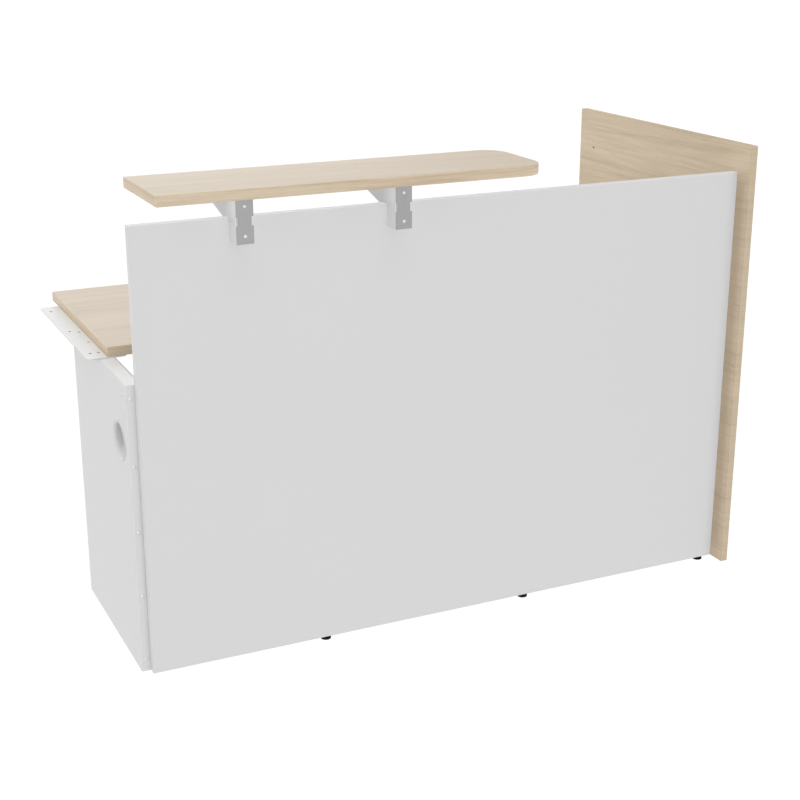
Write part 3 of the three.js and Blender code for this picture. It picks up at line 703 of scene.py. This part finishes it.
def board_mesh(node, axes, radii, arris):
    low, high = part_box(node)
    u, v, w = axes
    profile = board_profile(high[w] - low[w], arris)
    rings = []
    for inset, depth in profile:
        shrunk = [max(radius - inset, SMALLEST_CORNER) for radius in radii]
        flat_low = (low[u] + inset, low[v] + inset)
        flat_high = (high[u] - inset, high[v] - inset)
        ring = []
        for point in board_outline(flat_low, flat_high, shrunk):
            place = Vector((0.0, 0.0, 0.0))
            place[u], place[v], place[w] = point[0], point[1], low[w] + depth
            ring.append(place)
        rings.append(ring)
    form = loft(rings)
    lay_grain(form, rings, axes, len(profile))
    return mesh_of(node + "_board", form)


def lay_grain(form, rings, axes, levels):
    """Writes the UV map: flat on the faces, along the edge on the band."""
    u, v, w = axes
    edge = rings[levels // 2]
    count = len(edge)
    walked = [0.0]
    for i in range(count):
        walked.append(walked[-1] + (edge[(i + 1) % count] - edge[i]).length)
    grain = form.loops.layers.uv.new("grain")
    form.faces.ensure_lookup_table()
    for index, face in enumerate(form.faces):
        level, i = divmod(index, count)
        banded = 1 <= level < levels - 2
        for corner, loop in enumerate(face.loops):
            place = loop.vert.co
            if banded:
                run = walked[i + 1] if corner in (1, 2) else walked[i]
                loop[grain].uv = (run + BAND_SHIFT, place[w] + BAND_SHIFT)
            else:
                loop[grain].uv = (place[u], place[v])


print("boards: bands of", BAND / MM, "mm with a hairline of", HAIRLINE / MM, "mm")

# %% [markdown]
# ## Bores for the feet
# The stems of the levelling feet turn in steel inserts, which are pressed into bores in the lower edges
# of the boards. The bores are cut with a Boolean modifier, which is then turned into plain mesh.

# %% Bores
BORE_SIDES = 32
BORE_EASE = 0.3 * MM


def bore_for(inserts):
    """One mesh of cylinders, a little wider and longer than the inserts."""
    form = bmesh.new()
    for node in inserts:
        low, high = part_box(node)
        radius = (high.x - low.x) / 2 + BORE_EASE
        middle = (low + high) / 2
        deep = high.z - low.z + BORE_EASE
        start = Vector((middle.x, middle.y, low.z - BORE_EASE))
        made = bmesh.ops.create_cone(
            form, cap_ends=True, segments=BORE_SIDES, radius1=radius, radius2=radius, depth=deep + BORE_EASE
        )
        shift = start + Vector((0.0, 0.0, (deep + BORE_EASE) / 2))
        bmesh.ops.translate(form, verts=made["verts"], vec=shift)
    return mesh_of("bores", form)


def add_board(node, axes, radii, arris, finish, slot, inserts=()):
    board = add_object(node + "_board", board_mesh(node, axes, radii, arris))
    if inserts:
        cutter = add_object("bores", bore_for(inserts))
        boolean = board.modifiers.new("bores", "BOOLEAN")
        boolean.operation = "DIFFERENCE"
        boolean.solver = "EXACT"
        boolean.object = cutter
        bake(board)
        bpy.data.objects.remove(cutter)
    smooth(board.data)
    face_normals(board)
    bake(board)
    add_piece(board, finish, slot, "desk", node)
    print("board:", node, len(board.data.polygons), "faces")
    return board


print("bores:", BORE_SIDES, "sides and", round(BORE_EASE / MM, 1), "mm of ease")

# %% [markdown]
# ## The four boards
# The front panel and the end panel stand, so their outlines lie in x and z, and in y and z. The two tops
# lie flat. The counter's right corners are rounded by 60 mm and every other corner only as far as a file
# takes it. The counter and the end panel are hidden from diffuse light, because in the photo neither of
# them throws a brown shade on the white panel.

# %% The four boards
SHARP = 1.0 * MM
PANEL_ARRIS = 1.0 * MM
TOP_ARRIS = 1.5 * MM
COUNTER_ROUND = 60.0 * MM
FLAT_XY, UPRIGHT_XZ, UPRIGHT_YZ = (0, 1, 2), (0, 2, 1), (1, 2, 0)
SQUARE = [SHARP] * 4
ROUND_RIGHT = [SHARP, COUNTER_ROUND, COUNTER_ROUND, SHARP]

panel_inserts = [f"panel_foot_insert_{i}" for i in (1, 2, 3)]
end_inserts = ["end_foot_insert_front", "end_foot_insert_rear"]
add_board("front_panel", UPRIGHT_XZ, SQUARE, PANEL_ARRIS, white_melamine, "white_board", panel_inserts)
end_panel = add_board("end_panel", UPRIGHT_YZ, SQUARE, PANEL_ARRIS, end_decor, "wood_decor", end_inserts)
add_board("desktop", FLAT_XY, SQUARE, TOP_ARRIS, top_decor, "wood_decor")
counter = add_board("counter_top", FLAT_XY, ROUND_RIGHT, TOP_ARRIS, top_decor, "wood_decor")
counter.visible_diffuse = False
end_panel.visible_diffuse = False

# %% [markdown]
# ## Folded sheets
# The leg, its caps, the link plate, the angles and the brackets are cut and folded steel, and the CAD
# solids already have their folds and holes. Only the cut edges are too sharp: paint draws back from an
# edge and rounds it. A copy of each solid is merged into one skin, its flat triangles become whole faces,
# and a Bevel modifier of a few tenths of a millimetre rounds what is left. The brackets throw no shadow,
# so that they merge with the panel as they do in the photo. The leg's cover lets light through, so that
# the joint beside the top cap is no dark line.

# %% Folded sheets
MERGE = 0.002 * MM
FLAT_ANGLE = math.radians(0.5)
EDGE_ANGLE = math.radians(50)
LEG_ROUNDING = 0.3 * MM
BRACKET_ROUNDING = 0.35 * MM
THICK_ROUNDING = 0.4 * MM


def skin_of(node):
    raw = frame["nodes"][node].data
    form = bmesh.new()
    corners = [form.verts.new(vertex.co) for vertex in raw.vertices]
    for polygon in raw.polygons:
        form.faces.new([corners[i] for i in polygon.vertices])
    bmesh.ops.remove_doubles(form, verts=form.verts, dist=MERGE)
    bmesh.ops.dissolve_limit(form, angle_limit=FLAT_ANGLE, verts=form.verts, edges=form.edges)
    mesh = bpy.data.meshes.new(node + "_sheet")
    form.to_mesh(mesh)
    form.free()
    return mesh


def add_sheet(node, finish, slot, rounding):
    sheet = add_object(node + "_sheet", skin_of(node))
    bevel = sheet.modifiers.new("painted edges", "BEVEL")
    bevel.width = rounding
    bevel.segments = 2
    bevel.limit_method = "ANGLE"
    bevel.angle_limit = EDGE_ANGLE
    bake(sheet)
    smooth(sheet.data, EDGE_ANGLE)
    face_normals(sheet)
    bake(sheet)
    add_piece(sheet, finish, slot, "desk", node)
    print("sheet:", node, len(sheet.data.polygons), "faces")
    return sheet


for node in ("leg_shell", "leg_top_cap", "leg_base_cap"):
    add_sheet(node, powder_coat, "white_steel", LEG_ROUNDING)
leg_cover = add_sheet("leg_cover", powder_coat, "white_steel", LEG_ROUNDING)
leg_cover.visible_shadow = False
leg_cover.visible_diffuse = False
for node in ("desktop_angle", "corner_angle"):
    add_sheet(node, powder_coat, "white_steel", THICK_ROUNDING)
for side in ("left", "right"):
    bracket = add_sheet(f"counter_bracket_{side}", bracket_coat_painted_light, "white_steel", BRACKET_ROUNDING)
    face_plate = add_sheet(f"bracket_face_plate_{side}", grey_steel, "grey_steel", BRACKET_ROUNDING)
    bracket.visible_shadow = False
    face_plate.visible_shadow = False

# %% [markdown]
# ## Link plate
# The link plate joins this unit to a next one. Its outer holes wait for the next desktop and are tapped
# after painting, so their walls are bare steel. The walls are coloured near black: painted shade, for a
# hole's shaded far wall seen from above. They mirror the screws of this desktop about the plate's middle,
# which is how their faces are found.

# %% Link plate
TAPPED_RADIUS = 3.6 * MM
WALL_TILT = 0.5

link_plate = add_sheet("link_plate", powder_coat, "white_steel", THICK_ROUNDING)
# The hole walls get near-black steel: bare steel, darkened as painted shade.
link_plate.data.materials.append(dark_steel_painted_shade)
low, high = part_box("link_plate")
tapped = []
for i in (1, 2, 3):
    screw_low, screw_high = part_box(f"desktop_screw_{i}")
    screw = (screw_low + screw_high) / 2
    tapped.append(Vector((low.x + high.x - screw.x, screw.y)))
painted_shade_faces = 0
for face in link_plate.data.polygons:
    from_hole = min((face.center.xy - hole).length for hole in tapped)
    if from_hole < TAPPED_RADIUS and abs(face.normal.z) < WALL_TILT:
        face.material_index = 1
        painted_shade_faces += 1
print("link plate:", painted_shade_faces, "faces of near-black steel, painted shade")

# %% [markdown]
# ## Cable port
# Cables leave the leg through a round plastic sleeve with a soft, flared mouth, and a ring snaps on to it
# from the operator's side. Both are turned shapes whose profile closes on itself, so the last ring joins
# the first.

# %% Cable port
PORT_SEGMENTS = 96
PORT_BORE = 40.0 * MM
PORT_OUTER = 45.0 * MM
PORT_FLARE = 8.0 * MM
RIM_ROUND = 0.8 * MM
SEAT = 0.1 * MM
RING_EASE = 0.3 * MM


def arc(middle, radius, start, end, steps):
    """Points of an arc, its angles given in quarter turns."""
    angles = [(start + (end - start) * i / steps) * math.pi / 2 for i in range(steps + 1)]
    return [(middle[0] + radius * math.cos(a), middle[1] + radius * math.sin(a)) for a in angles]


sleeve_low, sleeve_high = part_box("cable_port_sleeve")
ring_low, ring_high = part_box("cable_port_ring")
shell_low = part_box("leg_shell")[0]
rim = (sleeve_high.y - sleeve_low.y) / 2
sleeve_length = sleeve_high.x - sleeve_low.x
wall_depth = shell_low.x - sleeve_low.x - SEAT
port_middle = (sleeve_low + sleeve_high) / 2
port_start = Vector((sleeve_low.x, port_middle.y, port_middle.z))

sleeve_profile = arc((PORT_BORE + PORT_FLARE, PORT_FLARE), PORT_FLARE, 2, 3, 10)
sleeve_profile += arc((rim - RIM_ROUND, RIM_ROUND), RIM_ROUND, 3, 4, 5)
sleeve_profile += [(rim, wall_depth), (PORT_OUTER, wall_depth)]
sleeve_profile += arc((PORT_OUTER - RIM_ROUND, sleeve_length - RIM_ROUND), RIM_ROUND, 0, 1, 4)
sleeve_profile += arc((PORT_BORE + RIM_ROUND, sleeve_length - RIM_ROUND), RIM_ROUND, 1, 2, 4)
sleeve_form = loft(turned(sleeve_profile, PORT_SEGMENTS), loop=True)
sleeve_mesh = mesh_of("cable_port_sleeve_moulding", sleeve_form)
sleeve_mesh.transform(aimed((1, 0, 0), port_start))
smooth(sleeve_mesh)
sleeve = add_object(sleeve_mesh.name, sleeve_mesh)
add_piece(sleeve, white_plastic, "white_plastic", "desk", "cable_port_sleeve")

ring_thickness = ring_high.x - ring_low.x
ring_inner = PORT_OUTER + RING_EASE
ring_profile = [(ring_inner, 0.0), (rim, 0.0)]
ring_profile += arc((rim - RIM_ROUND, ring_thickness - RIM_ROUND), RIM_ROUND, 0, 1, 5)
ring_profile += [(ring_inner, ring_thickness)]
ring_form = loft(turned(ring_profile, PORT_SEGMENTS), loop=True)
ring_mesh = mesh_of("cable_port_ring_moulding", ring_form)
ring_mesh.transform(aimed((1, 0, 0), Vector((ring_low.x, port_middle.y, port_middle.z))))
smooth(ring_mesh)
port_ring = add_object(ring_mesh.name, ring_mesh)
add_piece(port_ring, white_plastic, "white_plastic", "desk", "cable_port_ring")
print("cable port: rim of", round(2 * rim / MM), "mm")

# %% [markdown]
# ## Screws
# Three kinds hold the desk together: button-head screws with a hex socket in the leg and the face plates,
# pan-head wood screws with a cross recess in the boards, and flush hex screws in the link plate. Each is
# turned, but the rings that line its socket are a hexagon or a cross, which `turned` draws by asking for
# the radius at every angle. A screw is made once, with the top of its head at the origin.

# %% Screw shapes
SCREW_SEGMENTS = 48
HEX_HALF = 1.5 * MM
HEX_DEPTH = 1.1 * MM
CROSS_DEPTH = 1.4 * MM
FLUSH_DEPTH, FLUSH_WALL = 1.5 * MM, 1.3 * MM
SOCKET_LIP = 0.1 * MM
DOME_ROUND = 0.98
TIP_SHARE = 0.94


def hexagon(apothem):
    def radius(angle):
        away = (angle + math.pi / 6) % (math.pi / 3) - math.pi / 6
        return apothem / math.cos(away)

    return radius


def cross(reach, half_width):
    def radius(angle):
        away = abs((angle + math.pi / 4) % (math.pi / 2) - math.pi / 4)
        end = reach / math.cos(away)
        side = half_width / max(math.sin(away), 1e-6)
        return min(end, side)

    return radius


def dome_points(head, dome, height, shares):
    """Points down a round head, at shares of its radius. They take up a share of the dome's height."""
    falls = [1 - math.sqrt(1 - (DOME_ROUND * share) ** 2) for share in shares]
    return [(share * head, -height * dome * fall) for share, fall in zip(shares, falls)]


def button_screw(head, dome, shank, length):
    profile = [(hexagon(0.9 * HEX_HALF), -HEX_DEPTH), (hexagon(HEX_HALF), -0.85 * HEX_DEPTH)]
    profile += [(hexagon(HEX_HALF), -1.2 * SOCKET_LIP), (1.2 * HEX_HALF, -0.2 * SOCKET_LIP)]
    profile += dome_points(head, dome, 0.95, (0.55, 0.7, 0.82, 0.91, 0.97))
    profile += [(head, -0.8 * dome), (0.99 * head, -dome), (shank, -dome)]
    profile += [(shank, -dome - TIP_SHARE * length), (0.8 * shank, -dome - length)]
    return profile


def wood_screw(head, dome, shank, length):
    reach, half_width = 0.5 * head, 0.11 * head
    profile = [(cross(0.35 * reach, 0.5 * half_width), -CROSS_DEPTH)]
    profile += [(cross(0.8 * reach, 0.8 * half_width), -0.5 * CROSS_DEPTH)]
    profile += [(cross(reach, half_width), -1.6 * SOCKET_LIP), (1.15 * reach, -0.6 * SOCKET_LIP)]
    profile += dome_points(head, dome, 0.9, (0.7, 0.82, 0.91, 0.97))
    profile += [(head, -0.75 * dome), (0.99 * head, -dome), (shank, -dome)]
    profile += [(shank, -dome - 0.75 * length), (0.12 * shank, -dome - length)]
    return profile


def flush_screw(head, depth, shank, length):
    profile = [(hexagon(0.9 * HEX_HALF), -FLUSH_DEPTH), (hexagon(HEX_HALF), -FLUSH_WALL)]
    profile += [(hexagon(HEX_HALF), -SOCKET_LIP), (1.2 * HEX_HALF, 0.0)]
    profile += [(0.96 * head, 0.0), (head, -1.2 * SOCKET_LIP)]
    profile += [(shank, -depth), (shank, -TIP_SHARE * length), (0.8 * shank, -length)]
    return profile


print("screws:", SCREW_SEGMENTS, "points round each")

# %% [markdown]
# ## Rows of screws
# The screws stand in straight rows, so a small Geometry Nodes tree sets them: a Mesh Line makes the
# places, the screw that comes in is put on each, and the copies are made real because an exported model
# has no instances. The tree's inputs are its count, start and step, and each row becomes one plain mesh.
# The start and the step are read from the boxes of the CAD screws.


# %% Row tree
class ShapeTree(Graph):
    """A Geometry Nodes tree with named inputs."""

    def __init__(self, name):
        super().__init__(bpy.data.node_groups.new(name, "GeometryNodeTree"))
        self.tree.interface.new_socket("Shape", in_out="OUTPUT", socket_type="NodeSocketGeometry")
        self.entry = self.nodes.new("NodeGroupInput")
        self.keys = {}

    def input(self, name, kind):
        socket = self.tree.interface.new_socket(name, in_out="INPUT", socket_type="NodeSocket" + kind)
        self.keys[name] = socket.identifier
        return Value(self, self.entry.outputs[name])

    def end(self, shape, finish):
        real = self.node("GeometryNodeRealizeInstances", {}, {"Geometry": shape})
        painted = self.node("GeometryNodeSetMaterial", {}, {"Geometry": real, "Material": finish})
        self.links.new(painted.socket, self.nodes.new("NodeGroupOutput").inputs[0])

    def grow(self, name, mesh, values):
        thing = add_object(name, mesh)
        modifier = thing.modifiers.new(self.tree.name, "NODES")
        modifier.node_group = self.tree
        for key, value in values.items():
            modifier[self.keys[key]] = value
        bake(thing)
        return thing


screw_row = ShapeTree("row of screws")
one_screw = screw_row.input("Screw", "Geometry")
row_count = screw_row.input("Count", "Int")
row_start = screw_row.input("Start", "Vector")
row_step = screw_row.input("Step", "Vector")
row_finish = screw_row.input("Finish", "Material")
row_line = screw_row.node(
    "GeometryNodeMeshLine",
    {"mode": "OFFSET"},
    {"Count": row_count, "Start Location": row_start, "Offset": row_step},
)
row_copies = screw_row.node("GeometryNodeInstanceOnPoints", {}, {"Points": row_line, "Instance": one_screw})
screw_row.end(row_copies, row_finish)
print("row tree:", len(screw_row.nodes), "nodes")

# %% Rows from the frame
SCREW_TYPES = {
    "button": (button_screw, (4.0 * MM, 1.6 * MM, 2.5 * MM), zinc),
    "wood": (wood_screw, (4.5 * MM, 2.2 * MM, 2.25 * MM), zinc),
    "flush": (flush_screw, (4.0 * MM, 2.6 * MM, 2.5 * MM), dull_zinc),
}
LEFT, FRONT, REAR = Vector((-1, 0, 0)), Vector((0, -1, 0)), Vector((0, 1, 0))
UP, DOWN = Vector((0, 0, 1)), Vector((0, 0, -1))


def head_top(node, looks):
    """The top of a CAD screw's head: the middle of its box, moved to the side it looks to."""
    low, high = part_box(node)
    middle, half = (low + high) / 2, (high - low) / 2
    return middle + looks * abs(half.dot(looks))


def screw_row_at(name, kind, length, starts, looks, nodes=()):
    shape, sizes, finish = SCREW_TYPES[kind]
    mesh = mesh_of(name, loft(turned(shape(*sizes, length), SCREW_SEGMENTS)))
    mesh.transform(aimed(looks, Vector((0.0, 0.0, 0.0))))
    smooth(mesh)
    first, last = starts[0], starts[-1]
    step = (last - first) / (len(starts) - 1)
    values = {"Count": len(starts), "Start": tuple(first), "Step": tuple(step), "Finish": finish}
    row = screw_row.grow(name, mesh, values)
    add_piece(row, finish, "zinc", "desk", *nodes)
    print("row:", name, len(starts), "screws,", len(row.data.polygons), "faces")


def screw_row_for(name, kind, nodes, looks):
    low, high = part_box(nodes[0])
    whole = abs((high - low).dot(looks))
    length = whole if kind == "flush" else whole - SCREW_TYPES[kind][1][1]
    starts = [head_top(node, looks) for node in nodes]
    screw_row_at(name, kind, length, starts, looks, nodes)


FIVE, THREE = range(1, 6), range(1, 4)
screw_row_for("leg_front_screws", "button", [f"leg_front_screw_{i}" for i in FIVE], FRONT)
screw_row_for("leg_side_screws", "button", ["leg_side_screw_lower", "leg_side_screw_upper"], LEFT)
screw_row_for("panel_screws", "wood", [f"panel_screw_{i}" for i in FIVE], REAR)
screw_row_for("desktop_screws", "wood", [f"desktop_screw_{i}" for i in THREE], DOWN)
screw_row_for("link_plate_screws", "flush", [f"link_plate_screw_{i}" for i in THREE], UP)
for side in ("left", "right"):
    faces = [f"face_plate_screw_{side}_{level}" for level in ("lower", "upper")]
    screw_row_for(f"face_plate_screws_{side}", "button", faces, FRONT)
    backs = [f"bracket_panel_screw_{side}_{level}" for level in ("lower", "upper")]
    screw_row_for(f"bracket_panel_screws_{side}", "wood", backs, REAR)
    seats = [f"counter_screw_{side}_{end}" for end in ("front", "rear")]
    screw_row_for(f"counter_screws_{side}", "wood", seats, DOWN)

# %% [markdown]
# ## Screws in the angles
# The two angles have three holes in each flange, and the CAD model leaves their screws out to stay small.
# The same rows fill them here. Their places follow the angles' boxes: 40 mm from the ends, 23 mm from the
# corner.

# %% Screws in the angles
ANGLE_INSET = 40.0 * MM
ANGLE_LINE = 23.0 * MM
ANGLE_SHEET = 3.0 * MM
ANGLE_HEAD = 2.3 * MM
ANGLE_GRIP = 16.0 * MM
ANGLE_SCREWS = 3


def between(first, last, count):
    return [first + (last - first) * i / (count - 1) for i in range(count)]


def angle_row(name, first, last, looks):
    lift = looks * (ANGLE_SHEET + ANGLE_HEAD)
    starts = between(first + lift, last + lift, ANGLE_SCREWS)
    screw_row_at(name, "wood", ANGLE_GRIP, starts, looks)


low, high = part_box("desktop_angle")
ends = [low.y + ANGLE_INSET, high.y - ANGLE_INSET]
under = [Vector((high.x - ANGLE_LINE, y, high.z)) for y in ends]
beside = [Vector((high.x, y, high.z - ANGLE_LINE)) for y in ends]
angle_row("desktop_angle_screws_up", *under, DOWN)
angle_row("desktop_angle_screws_side", *beside, LEFT)
low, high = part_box("corner_angle")
ends = [low.z + ANGLE_INSET, high.z - ANGLE_INSET]
panel_side = [Vector((high.x - ANGLE_LINE, low.y, z)) for z in ends]
end_side = [Vector((high.x, low.y + ANGLE_LINE, z)) for z in ends]
angle_row("corner_angle_screws_panel", *panel_side, REAR)
angle_row("corner_angle_screws_end", *end_side, LEFT)

# %% [markdown]
# ## Levelling feet
# A foot is a black pad that a hand can grip, on a steel stem that turns in its insert. The grip is a ring
# of flutes, drawn by a radius that swings with the angle. The stem's thread is a rule too: the depth at
# any point depends only on its height and its angle. A second tree bends a plain cylinder that way with
# Set Position, so pitch and depth stay inputs.

# %% Threaded stem tree
TURN = 2 * math.pi

stem_tree = ShapeTree("threaded stem")
stem_radius = stem_tree.input("Radius", "Float")
stem_length = stem_tree.input("Length", "Float")
stem_pitch = stem_tree.input("Pitch", "Float")
stem_depth = stem_tree.input("Depth", "Float")
stem_sides = stem_tree.input("Sides", "Int")
stem_levels = stem_tree.input("Levels", "Int")
stem_finish = stem_tree.input("Finish", "Material")
stem_core = stem_tree.node(
    "GeometryNodeMeshCylinder",
    {"fill_type": "NGON"},
    {"Vertices": stem_sides, "Side Segments": stem_levels, "Radius": stem_radius, "Depth": stem_length},
)
stem_x, stem_y, stem_z = stem_tree.parts(stem_tree.node("GeometryNodeInputPosition", {}, {}))
stem_turn = stem_y.math("ARCTAN2", stem_y, stem_x) / TURN
stem_wave = 2.0 * stem_z.math("PINGPONG", stem_z / stem_pitch - stem_turn, 0.5)
stem_scale = 1.0 - stem_wave * stem_depth / stem_radius
stem_bent = stem_tree.node(
    "GeometryNodeSetPosition",
    {},
    {"Geometry": stem_core, "Position": stem_tree.point(stem_x * stem_scale, stem_y * stem_scale, stem_z)},
)
stem_tree.end(stem_bent, stem_finish)
print("stem tree:", len(stem_tree.nodes), "nodes")

# %% Feet
FOOT_NODES = [f"panel_foot_{i}" for i in THREE] + ["end_foot_front", "end_foot_rear"]
FOOT_NODES += ["leg_foot_front", "leg_foot_rear"]
FOOT_SEGMENTS = 120
FLUTES = 24
FLUTE_DEPTH = 0.45 * MM
PAD_HEIGHT = 7.9 * MM
PAD_CROWN = 2.0 * MM
PAD_ROUND = 0.7 * MM
PAD_HOLLOW = 0.5 * MM
PAD_RECESS = (0.62, 0.66)
GRIP_START, GRIP_END = 1.1 * MM, 0.2 * MM
GRIP_RUN = 0.4 * MM
PAD_GROOVE = (0.6 * MM, 0.3 * MM)
STEM_RADIUS = 4.0 * MM
STEM_SIDES = 24
STEM_PITCH = 1.25 * MM
STEM_THREAD = 0.6 * MM
STEM_ROOT = 2.0 * MM
LEVELS_PER_TURN = 6


def fluted(radius):
    return lambda angle: radius - FLUTE_DEPTH * (0.5 - 0.5 * math.cos(FLUTES * angle))


def pad_profile(radius):
    crown = PAD_HEIGHT - PAD_CROWN
    groove_top, groove_floor = [STEM_RADIUS + reach for reach in PAD_GROOVE]
    recess_floor, recess_edge = [share * radius for share in PAD_RECESS]
    profile = [(recess_floor, PAD_HOLLOW), (recess_edge, 0.0), (radius - PAD_ROUND, 0.0)]
    profile += arc((radius - PAD_ROUND, PAD_ROUND), PAD_ROUND, 3, 4, 4)[1:]
    profile += [(radius, GRIP_START), (fluted(radius), GRIP_START + GRIP_RUN)]
    profile += [(fluted(radius), crown - GRIP_END - GRIP_RUN), (radius, crown - GRIP_END)]
    profile += arc((radius - PAD_CROWN, crown), PAD_CROWN, 0, 1, 6)
    profile += [(groove_top, PAD_HEIGHT), (groove_floor, PAD_HEIGHT - PAD_HOLLOW)]
    return profile


for node in FOOT_NODES:
    low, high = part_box(node)
    middle = (low + high) / 2
    on_floor = Vector((middle.x, middle.y, low.z))
    pad_rings = turned(pad_profile((high.x - low.x) / 2), FOOT_SEGMENTS)
    pad_mesh = mesh_of(node + "_pad", loft(pad_rings))
    pad_mesh.transform(Matrix.Translation(on_floor))
    smooth(pad_mesh)
    pad = add_object(node + "_pad", pad_mesh)
    add_piece(pad, black_plastic, "black_plastic", node, node)
    stem_start = low.z + PAD_HEIGHT - STEM_ROOT
    length = high.z - stem_start
    stem = stem_tree.grow(node + "_stem", bpy.data.meshes.new(node + "_stem"), {
        "Radius": STEM_RADIUS,
        "Length": length,
        "Pitch": STEM_PITCH,
        "Depth": STEM_THREAD,
        "Sides": STEM_SIDES,
        "Levels": round(length / STEM_PITCH * LEVELS_PER_TURN),
        "Finish": zinc,
    })
    stem.data.transform(Matrix.Translation((middle.x, middle.y, stem_start + length / 2)))
    smooth(stem.data)
    add_piece(stem, zinc, "zinc", node)
    print("foot:", node, len(pad.data.polygons), "and", len(stem.data.polygons), "faces")

# %% [markdown]
# ## Inserts
# The steel inserts sit inside the boards and only their ends show from below, so the CAD solids stay and
# get the zinc finish.

# %% Inserts
for node in panel_inserts + end_inserts:
    solid = frame["nodes"][node]
    solid.data.materials.clear()
    solid.data.materials.append(zinc)
print("inserts:", len(panel_inserts + end_inserts), "kept from the frame")

# %% [markdown]
# ## Last update
# The last line brings the view layer up to date.

# %% Last update
bpy.context.view_layer.update()
